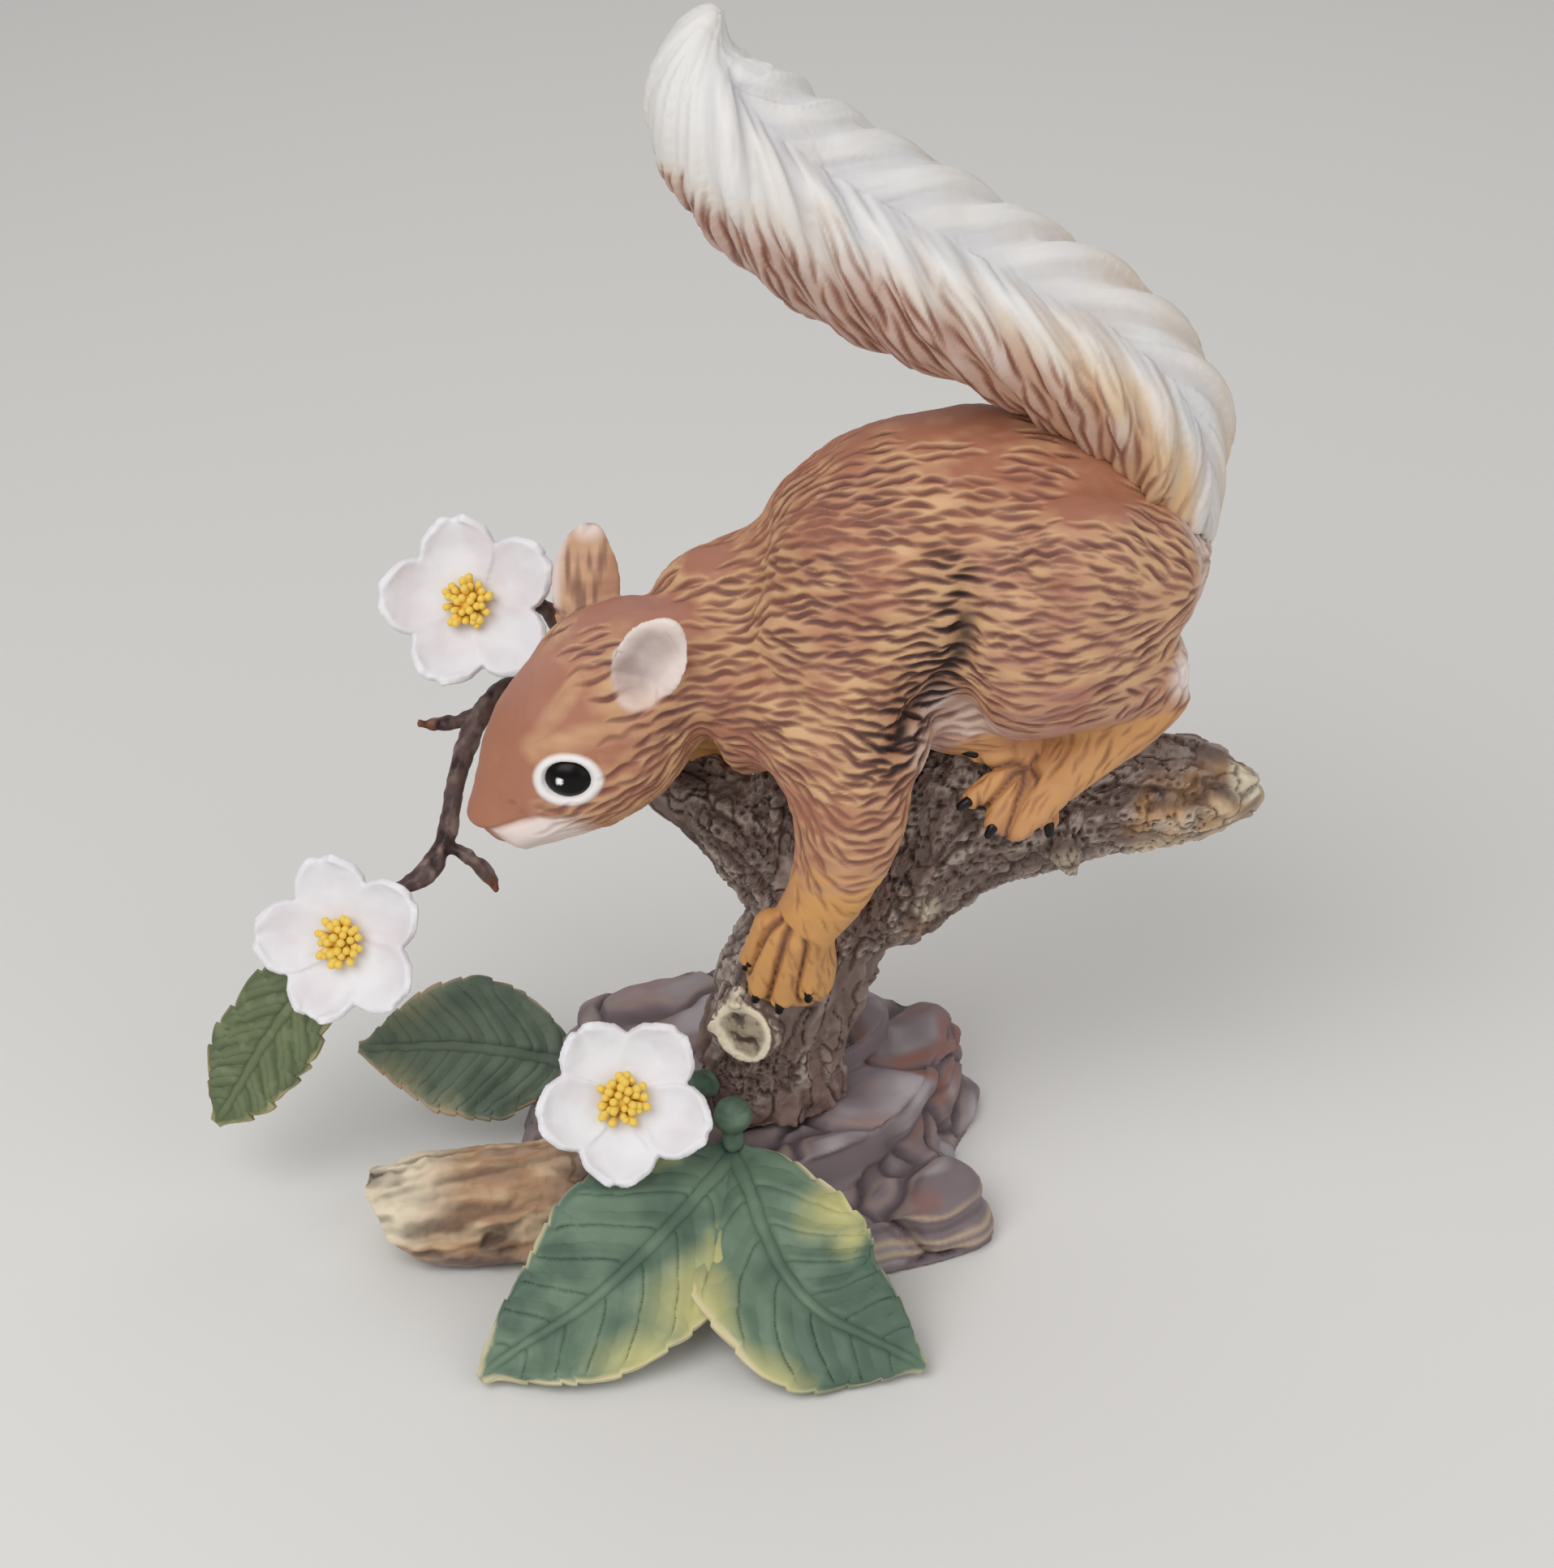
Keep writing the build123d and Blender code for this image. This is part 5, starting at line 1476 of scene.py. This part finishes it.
@dataclass
class Ground:
    """The layered rock that everything stands on."""

    voxel: float = 0.5

    def build(self) -> None:
        """Break the smooth rock into rounded blocks and paint it."""
        piece = copied("ground_rock", ("rock_base",))
        remesh(piece, 0.9)
        relax(piece, 2)
        remesh(piece, self.voxel)
        skin = Skin(piece)
        self.carve(skin)
        smooth_shaded(skin.piece)
        place_piece(skin.piece, ROCK.material(), ("rock_base",))

    def carve(self, skin: Skin) -> None:
        """Raise blocks between cracks, shelve the sides and paint what stands out, with a painted highlight
        where the blocks face up.
        """
        places = skin.places
        ring = np.hypot(places[:, 0] - 2, places[:, 1])
        outside = np.maximum(smooth_step(0.2, 0.6, skin.normals @ np.array([0, 0, 1.0])) * (places[:, 2] > 6),
                             smooth_step(24, 28, ring))
        inner = (ring < 24) & (places[:, 2] < 15)
        outside = np.where(inner, 0, outside) * smooth_step(0.4, 1.6, places[:, 2])
        warp = np.stack([rough(places, 16.0, 71 + axis) for axis in range(3)], axis=1)
        first, second = cells(places + 2.4 * warp, np.array([17.0, 17.0, 10.0]), 74)
        edge = second - first
        crack = smooth_step(0.09, 0.0, edge)
        dome = smooth_step(0.0, 0.36, edge)
        shelf = (places[:, 2] + 1.3 * warp[:, 2] + 0.05 * places[:, 0]) / 5.0
        step = np.abs((shelf % 1) - 0.5) * 2
        upright = smooth_step(0.8, 0.3, np.abs(skin.normals[:, 2]))
        layers = (smooth_step(0.25, 0.75, step) - 0.5) * upright
        height = (
            1.6 * dome - 0.7 * crack + rough(places, 12.0, 78, 2) + 0.8 * layers
            + 0.07 * rough(places, 3.0, 77) - 0.9
        )
        skin.raise_by(height * outside)
        seams = 0.45 * smooth_step(0.3, 0.05, step) * upright
        skin.paint(Mask.GROOVE, outside * np.maximum(0.7 * crack, seams))
        rim = bell(edge, 0.17, 0.10)
        right = smooth_step(12, 26, places[:, 0]) * smooth_step(5, 12, places[:, 2])
        humps = np.maximum(right, smooth_step(-6, -16, places[:, 0]) * smooth_step(-2, 8, places[:, 1]))
        rusty = humps * smooth_step(-0.3, 0.4, ripple(places, 11.0, 80))
        stains = 0.3 * rusty * smooth_step(0.2, 0.9, rough(places, 7.0, 81))
        skin.paint(Mask.WARM, outside * (0.75 * rim * rusty + stains))
        low = smooth_step(12, 7, places[:, 2]) * smooth_step(-4, -14, places[:, 1])
        shelves = bell(step, 0.72, 0.16) * upright * low
        lips = 0.25 * bell(edge, 0.13, 0.05) * (1 - rusty)
        skin.paint(Mask.EDGE, outside * np.maximum(shelves, lips))
        # painted highlight: paler where the blocks face up, mixed with random tone, on the blocks' domes
        light = rough(places, 10.0, 82, 2) + 0.45 * skin.normals[:, 2] + 0.25 * dome
        skin.paint(Mask.RIDGE, outside * smooth_step(0.15, 1.1, light) * dome)


@dataclass(frozen=True)
class Leaf:
    """One pressed leaf.

    Attributes:
        name: Name of the piece, and of the solid that it stands for.
        root: Start of the midrib.
        tip: Its end.
        bows: Rows of a share of the way and the bow in x, y and z, as shares of the length.
        side: Direction across the blade, towards its first edge.
        width: Greatest width.
        outline: Half-widths along the blade, as shares of the greatest one.
        teeth: Number of teeth along an edge.
        tooth_depth: Depth of the teeth.
        lift: How far each edge turns up, at the first edge and the last one.
        sunny: Places of yellow patches: along, across, reach.
        seed: Picks the small irregularities.
        thickness: Thickness of the blade.
        fold: How far the edges rise, as a share of half the width.
    """

    name: str
    root: Triple
    tip: Triple
    bows: tuple[tuple[float, float, float, float], ...]
    side: Triple
    width: float
    outline: tuple[float, ...] = (0.14, 0.56, 0.90, 1.0, 0.88, 0.56, 0.24, 0.03)
    teeth: int = 12
    tooth_depth: float = 0.5
    lift: tuple[float, float] = (0.0, 0.0)
    sunny: tuple[Triple, ...] = ()
    seed: int = 1
    thickness: float = 1.5
    fold: float = 0.10

    def midrib(self) -> np.ndarray:
        """Lay the midrib."""
        start, end = np.array(self.root), np.array(self.tip)
        span = end - start
        size = np.linalg.norm(span)
        return spine([tuple(start + span * along + np.array(bow) * size) for along, *bow in self.bows], 200)

    def half_width(self, share: np.ndarray, across: np.ndarray) -> np.ndarray:
        """Work out half the blade's width at each vertex, with its teeth."""
        rows = [row[0] for row in self.bows]
        half = np.interp(share, rows, self.outline)
        beside = np.interp(share - 0.03, rows, self.outline) + np.interp(share + 0.03, rows, self.outline)
        for _ in range(2):
            half = 0.5 * half + 0.25 * beside
        noise = np.stack([share * 6, np.sign(across) * 3, np.full_like(share, self.seed)], axis=1)
        half = half * self.width / 2 * (1 + 0.05 * ripple(noise, 1.0, self.seed))
        saw = (share * self.teeth + 0.35 * ripple(noise * 2, 1.0, self.seed + 1)) % 1
        bites = self.tooth_depth * saw**2 * smooth_step(0.04, 0.14, share) * smooth_step(0.99, 0.9, share)
        return np.maximum(half - bites, 0.15)

    def thicken(self, piece: bpy.types.Object) -> None:
        """Give the blade its wall and turn its faces outwards."""
        modify(
            piece, "SOLIDIFY", thickness=self.thickness * MM, offset=0.0, vertex_group="body",
            thickness_vertex_group=0.0, use_quality_normals=True,
        )
        with editing(piece):
            bpy.ops.mesh.normals_make_consistent(inside=False)

    def build(self, finish: bpy.types.Material, slot: str) -> None:
        """Press, vein, trim and paint the leaf."""
        skin, share, across = pressed_sheet(self.name + "_blade", 170, 120)
        line = self.midrib()
        level = share * (len(line) - 1)
        steps = np.arange(len(line))
        centre = sampled(line, level, steps)
        way = unit(sampled(unit(np.gradient(line, axis=0)), level, steps))
        side = np.array(self.side)
        aside = unit(side - way * (way @ side)[:, None])
        up = np.cross(way, aside)
        half = self.half_width(share, across)
        length = np.linalg.norm(np.array(self.tip) - np.array(self.root))
        forward = 0.16 * length * smooth_step(0.05, 0.4, share) * smooth_step(1.0, 0.6, share)
        veins = (share * length - np.abs(across) * forward * 1.4 - 0.05 * length * across**2) / (length / 7.5)
        vein_gap = np.abs((veins + 0.25 * (across > 0)) % 1 - 0.5) * (length / 7.5)
        visible = smooth_step(0.05, 0.16, np.abs(across)) * smooth_step(0.97, 0.75, np.abs(across))
        visible = visible * smooth_step(0.06, 0.14, share) * smooth_step(0.95, 0.85, share)
        vein_cut = bell(vein_gap, 0, 0.32) * visible
        vein_lip = bell(vein_gap, 0.75, 0.4) * visible
        rib = np.abs(across) * half
        rib_width = 0.75 - 0.35 * share
        rib_ridge = bell(rib, 0, rib_width) * smooth_step(1.0, 0.9, share)
        rib_cut = bell(rib, 1.5 * rib_width, 0.38) * smooth_step(1.0, 0.9, share)
        surface = np.stack([share * length, across * half, np.full_like(share, self.seed * 9)], axis=1)
        billow = 0.55 * np.sin(math.pi * ((veins + 0.25 * (across > 0)) % 1)) * visible
        height = (
            self.fold * half * across**2 + self.thickness / 2 + billow + 0.30 * rib_ridge - 0.42 * rib_cut
            - 0.38 * vein_cut + 0.12 * vein_lip + 0.5 * rough(surface, 11.0, self.seed + 2)
            + 0.06 * rough(surface, 1.6, self.seed + 3)
        )
        edge = np.clip(np.abs(across), 0, 1)
        lift = np.where(across > 0, self.lift[0], self.lift[1])
        height = height + (lift + 0.5 * ripple(surface, 6.0, self.seed + 4)) * smooth_step(0.55, 1.0, edge)
        skin.places = centre + aside * (across * half)[:, None] + up * height[:, None]
        weights = 1 - 0.5 * smooth_step(0.86, 1.0, edge) * smooth_step(0, 0.1, share)
        weights = weights * (1 - 0.4 * smooth_step(0.95, 1.0, share))
        skin.write()
        weigh(skin.piece, "body", weights)
        rim = (1 - edge) * half
        clouds = rough(surface, 8.0, self.seed + 5)
        yellow = np.zeros_like(share)
        for spot_along, spot_across, reach in self.sunny:
            gap = np.hypot((share - spot_along) * length, (across - spot_across) * half)
            yellow = np.maximum(yellow, smooth_step(1.35 * reach, 0.0, gap + 1.4 * clouds))
        skin.paint(Mask.WARM, yellow)
        border = smooth_step(1.5, 0.15, rim + 0.8 * clouds + 0.4) * smooth_step(0.04, 0.2, share)
        skin.paint(Mask.EDGE, border)
        skin.paint(Mask.GROOVE, np.maximum(0.9 * rib_cut, 0.75 * vein_cut))
        skin.paint(Mask.DEEP, smooth_step(-0.2, 0.7, clouds) * (1 - yellow))
        flecks = smooth_step(0.4, 1.0, rough(surface, 3.0, self.seed + 6))
        skin.paint(Mask.RIDGE, 0.7 * vein_lip + 0.5 * rib_ridge + flecks)
        self.thicken(skin.piece)
        smooth_shaded(skin.piece, 60)
        place_piece(skin.piece, finish, (self.name,))


PLAIN_BOWS = (
    (0.0, 0, 0, 0), (0.14, 0, 0, 0.03), (0.30, 0, 0, 0.05), (0.48, 0, 0, 0.055),
    (0.66, 0, 0, 0.04), (0.82, 0, 0, 0.015), (0.93, 0, 0, 0), (1.0, 0, 0, 0),
)
LEFT_BOWS = (
    (0.0, 0, 0, 0), (0.14, 0.03, -0.03, 0.03), (0.30, 0.05, -0.05, 0.04), (0.48, 0.06, -0.06, 0.035),
    (0.66, 0.05, -0.05, 0.02), (0.82, 0.02, -0.02, 0.01), (0.93, 0, 0, 0), (1.0, 0, 0, 0),
)
RIGHT_BOWS = (
    (0.0, 0, 0, 0), (0.14, -0.03, -0.05, 0.03), (0.30, -0.08, -0.11, 0.03), (0.48, -0.12, -0.15, 0.03),
    (0.66, -0.12, -0.13, 0.02), (0.82, -0.06, -0.07, 0.01), (0.93, -0.02, -0.02, 0), (1.0, 0, 0, 0),
)


@dataclass
class Foliage:
    """The leaves, and the bud with its stalk."""

    leaves: list[Leaf] = field(default_factory=lambda: [
        Leaf("leaf_front_left", (0.74, -20.48, 17.6), (-36.06, -53.6, 1.5),
             LEFT_BOWS, (0.66, -0.60, -0.45), 29.0,
             sunny=((0.42, 0.95, 9.0), (0.62, 0.95, 6.0), (0.30, 0.8, 5.0), (0.20, -1.0, 4.0)), seed=5),
        Leaf("leaf_front_right", (0.74, -20.48, 17.6), (29.26, -50.84, 1.5),
             RIGHT_BOWS, (0.66, 0.60, 0.45), 29.0,
             sunny=((0.40, 0.95, 7.0), (0.52, 0.8, 5.0), (0.45, -1.0, 5.0), (0.65, -1.0, 4.0)), seed=9),
    ])
    back: Leaf = field(default_factory=lambda: Leaf(
        "leaf_back", (-25.53, 14.72, 9.24), (-60.45, 11.12, 15.72), PLAIN_BOWS, (0, -0.80, -0.60), 25.0,
        teeth=11, sunny=((0.8, 1.0, 5.0), (0.6, 1.0, 4.0), (0.75, -1.0, 5.0)), seed=13,
    ))
    hanging: Leaf = field(default_factory=lambda: Leaf(
        "leaf_twig", (-58.04, -2.76, 45.76), (-80.48, -6.72, 14.41),
        PLAIN_BOWS, (0.652, -0.396, -0.528), 16.0,
        outline=(0.10, 0.55, 0.92, 1.05, 1.0, 0.78, 0.42, 0.06), teeth=8, tooth_depth=0.9, seed=17,
    ))

    def build(self) -> None:
        """Build the leaves, the bud and the blossom's stalk."""
        green = LEAF.material()
        for leaf in self.leaves:
            leaf.build(green, "leaf_bisque")
        self.back.build(BACK_LEAF.material(), "leaf_bisque")
        self.hanging.build(OLIVE_LEAF.material(), "leaf_bisque")
        for name, node in (("bud_ball", "leaf_bud"), ("blossom_stem", "blossom_stalk")):
            piece = copied(name, (node,))
            remesh(piece, 0.35)
            relax(piece, 8)
            skin = Skin(piece)
            clouds = rough(skin.places, 3.5, 91)
            skin.raise_by(0.22 * clouds)
            skin.paint(Mask.DEEP, smooth_step(-0.2, 0.6, clouds))
            skin.paint(Mask.GROOVE, 0.5 * smooth_step(0.3, 0.8, rough(skin.places, 2.0, 92)))
            smooth_shaded(skin.piece)
            place_piece(skin.piece, green, (node,))


@dataclass(frozen=True)
class Blossom:
    """A blossom of five cupped petals fused at the heart, with its stamens."""

    number: int
    centre: Triple
    face: Triple
    turn: float
    petal_length: float = 13.3
    petal_width: float = 11.4
    cup: float = 3.0
    thickness: float = 1.35
    stamen_count: int = 34
    spread: float = 3.0
    outline_shares: tuple[float, ...] = (0, 0.12, 0.3, 0.48, 0.66, 0.82, 0.93, 1)
    outline: tuple[float, ...] = (0.24, 0.40, 0.70, 0.93, 1.0, 0.87, 0.60, 0.34)

    def axes(self) -> tuple[np.ndarray, np.ndarray, np.ndarray]:
        """Give the directions to the right, above and out of the blossom."""
        face = unit(np.array(self.face))
        right = unit(np.array([1.0, 0, 0]) - face * face[0])
        return right, np.cross(face, right), face

    def build(self, white: bpy.types.Material, yellow: bpy.types.Material) -> None:
        """Build the petals and the stamens."""
        petals = [self.petal(index) for index in range(5)]
        nodes = tuple(f"petal_{self.number}_{index + 1}" for index in range(5))
        core = copied("heart", (f"core_{self.number}",))
        corolla = joined(f"corolla_{self.number}", [core, *petals])
        remesh(corolla, 0.3)
        corolla = outer_shell(corolla)
        relax(corolla, 5)
        skin = Skin(corolla)
        _, _, face = self.axes()
        offset = skin.places - np.array(self.centre)
        reach = np.linalg.norm(offset - np.outer(offset @ face, face), axis=1)
        skin.raise_by(0.06 * rough(skin.places, 2.5, 100 + self.number))
        # painted shade: pinkish grey in random patches, strongest in a ring where the petals dip
        petal_shade = smooth_step(-0.3, 0.8, rough(skin.places, 7.0, 103 + self.number))
        skin.paint(Mask.WARM, petal_shade * (0.35 + 0.45 * bell(reach, 8.5, 3.0)))
        skin.paint(Mask.EDGE, smooth_step(10.5, 13.0, reach))
        smooth_shaded(skin.piece)
        place_piece(skin.piece, white, (*nodes, f"core_{self.number}"))
        self.stamens(yellow)

    def petal(self, index: int) -> bpy.types.Object:
        """Model one petal."""
        right, above, face = self.axes()
        angle = math.radians(self.turn + 72 * index)
        ahead = right * math.cos(angle) + above * math.sin(angle)
        aside = np.cross(face, ahead)
        seed = 120 + self.number * 10 + index
        skin, share, across = pressed_sheet("petal", 44, 40)
        half = np.interp(share, self.outline_shares, self.outline)
        margin = np.stack([share * 3, across * 2.2, np.full_like(share, seed)], axis=1)
        wave = ripple(margin, 1.0, seed)
        half = half * self.petal_width / 2 * (1 + 0.03 * wave * smooth_step(0.4, 0.8, share))
        dice = np.random.default_rng(seed)
        length = self.petal_length * dice.uniform(0.95, 1.04)
        notch = 0.025 * bell(across, dice.uniform(-0.2, 0.2), 0.25) * smooth_step(0.8, 1.0, share)
        out = length * (share * (1 + 0.015 * wave) - 0.05 * across**2 * share**3 - notch)
        bowl = self.cup * np.clip(out / self.petal_length, 0, 1.2) ** 2.4
        dent = 0.55 * np.exp(-(across / 0.6) ** 2 - ((share - 0.66) / 0.25) ** 2)
        spoon = across**2 * smooth_step(0.15, 0.8, share) - dent
        rim = smooth_step(0.6, 1.0, np.maximum(share, np.abs(across)))
        curl = (0.15 + 0.45 * ripple(margin * 0.9, 1.0, seed + 3)) * rim
        skin.places = (
            np.array(self.centre) + np.outer(out, ahead) + np.outer(across * half, aside)
            + np.outer(bowl + spoon + curl + self.thickness / 2 + 0.12 * (index % 2), face)
        )
        skin.write()
        modify(skin.piece, "SOLIDIFY", thickness=self.thickness * MM, offset=0.0)
        return skin.piece

    def stamens(self, finish: bpy.types.Material) -> None:
        """Stand the stamens in a bundle, copies of one granule."""
        right, above, face = self.axes()
        grain = drop("granule", (0, 0, 0), (0, 0, 1.8), 0.52, 0.64, 5)
        heart = np.array(self.centre) + face * (self.thickness * 0.8)
        dice = np.random.default_rng(200 + self.number)
        golden = math.pi * (3 - math.sqrt(5))
        copies = []
        for index in range(self.stamen_count):
            out = math.sqrt((index + 0.5) / self.stamen_count)
            angle = golden * index + dice.uniform(-0.25, 0.25)
            ray = right * math.cos(angle) + above * math.sin(angle)
            stem = unit(ray * out * dice.uniform(0.75, 1.15) + face)
            foot = heart + ray * (self.spread * 0.62 * out) + face * dice.uniform(0.0, 0.5) + stem
            copy = twin(grain, "granule")
            turn = Vector((0, 0, 1)).rotation_difference(Vector(stem)).to_matrix()
            place = Matrix.Translation(Vector(foot) * MM) @ (turn * dice.uniform(0.9, 1.15)).to_4x4()
            copy.data.transform(place)
            copies.append(copy)
        bpy.data.objects.remove(grain)
        filaments = drop("filaments", heart - face * 0.6, heart + face * 0.7, 2.0, 1.8, 10)
        bundle = joined(f"anthers_{self.number}", [filaments, *copies])
        skin = Skin(bundle)
        offset = skin.places - heart
        skin.paint(Mask.GROOVE, smooth_step(2.2, 0.8, offset @ face))
        smooth_shaded(skin.piece)
        place_piece(skin.piece, finish, (f"stamens_{self.number}",))


@dataclass
class Bouquet:
    """The three blossoms and the metal twig that carries two of them."""

    blossoms: list[Blossom] = field(default_factory=lambda: [
        Blossom(1, (-38.62, 14.53, 94.97), (-0.05, -0.87, 0.49), 102),
        Blossom(2, (-58.46, -5.0, 47.01), (-0.16, -0.86, 0.48), 103),
        Blossom(3, (-15.83, -23.68, 30.8), (0.10, -0.84, 0.53), 122),
    ])
    twig_tips: list[Triple] = field(default_factory=lambda: [
        (-47.3, 11.0, 76.4), (-35.6, 2.0, 51.6), (-37.6, 14.7, 75.0),
    ])

    def build(self) -> None:
        """Build the twig and the blossoms."""
        piece = copied("metal_twig", ("twig",))
        remesh(piece, 0.25)
        relax(piece, 2)
        skin = Skin(piece)
        places = skin.places
        fibre = ripple(places, (1.1, 1.1, 4.5), 151)
        knots = rough(places, 3.2, 152)
        skin.raise_by(0.17 * fibre + 0.28 * knots + 0.05 * ripple(places, 0.6, 153))
        skin.paint(Mask.GROOVE, smooth_step(-0.05, -0.7, fibre + 0.5 * knots))
        skin.paint(Mask.RIDGE, smooth_step(0.2, 0.9, fibre + 0.5 * knots))
        warm = np.maximum.reduce([skin.near([tip], 1.5, 2.5) for tip in self.twig_tips])
        skin.paint(Mask.WARM, warm)
        smooth_shaded(skin.piece)
        place_piece(skin.piece, TWIG.material(), ("twig",))
        white, yellow = PETAL.material(), STAMEN.material()
        for blossom in self.blossoms:
            blossom.build(white, yellow)


@dataclass(frozen=True)
class Studio:
    """The plain pale floor, the soft light and the camera at the photograph's angle."""

    target: Triple = (7.55, 0.0, 71.86)
    distance: float = 480.0
    elevation: float = 30.0
    focal_pixels: float = 3930.0
    frame_height: float = 1932.0
    sensor: float = 36.0

    def build(self) -> None:
        """Set up the floor, the lamps, the world and the camera."""
        self.floor()
        self.lamp("key_light", (-0.35, -0.55, 0.75), 0.7, 5.0)
        self.lamp("fill_light", (0.6, -0.5, 0.45), 0.8, 1.6)
        self.lamp("back_light", (0.1, 0.6, 0.7), 0.8, 1.2)
        self.sky()
        self.camera()
        bpy.context.scene.view_settings.view_transform = "Standard"

    def floor(self) -> None:
        """Lay a wide pale floor."""
        bpy.ops.mesh.primitive_plane_add(size=6)
        floor = bpy.context.view_layer.objects.active
        floor.name = "floor"
        material = bpy.data.materials.new("floor_paper")
        material.use_nodes = True
        shader = material.node_tree.nodes["Principled BSDF"]
        shader.inputs["Base Color"].default_value = (0.80, 0.79, 0.77, 1)
        shader.inputs["Roughness"].default_value = 0.9
        shader.inputs["Specular IOR Level"].default_value = 0.1
        floor.data.materials.append(material)

    def lamp(self, name: str, place: Triple, size: float, watts: float) -> None:
        """Hang one soft square lamp that faces the ornament."""
        bpy.ops.object.light_add(type="AREA", location=place)
        lamp = bpy.context.view_layer.objects.active
        lamp.name = name
        lamp.data.size = size
        lamp.data.energy = watts
        aim = Vector(self.target) * MM - Vector(place)
        lamp.rotation_euler = aim.to_track_quat("-Z", "Y").to_euler()

    def sky(self) -> None:
        """Fill the surroundings with even pale light."""
        world = bpy.data.worlds.new("studio_air")
        world.use_nodes = True
        world.node_tree.nodes["Background"].inputs["Color"].default_value = (1, 0.99, 0.98, 1)
        world.node_tree.nodes["Background"].inputs["Strength"].default_value = 0.35
        bpy.context.scene.world = world

    def camera(self) -> None:
        """Place the camera where the photograph was taken."""
        tilt = math.radians(self.elevation)
        target = Vector(self.target) * MM
        place = target - Vector((0, math.cos(tilt), -math.sin(tilt))) * self.distance * MM
        bpy.ops.object.camera_add(location=place, rotation=(math.pi / 2 - tilt, 0, 0))
        camera = bpy.context.view_layer.objects.active
        camera.data.sensor_width = self.sensor
        camera.data.lens = self.focal_pixels * self.sensor / self.frame_height
        camera.data.clip_start = 0.01
        bpy.context.scene.camera = camera


def main() -> None:
    """Build the ornament in the order in which its maker would."""
    logging.basicConfig(level=logging.INFO, format="%(message)s")
    Studio().build()
    for part in (Ground(), Timber(), Foliage(), Bouquet(), Hide(), Plume()):
        part.build()


if __name__ == "__main__":
    main()
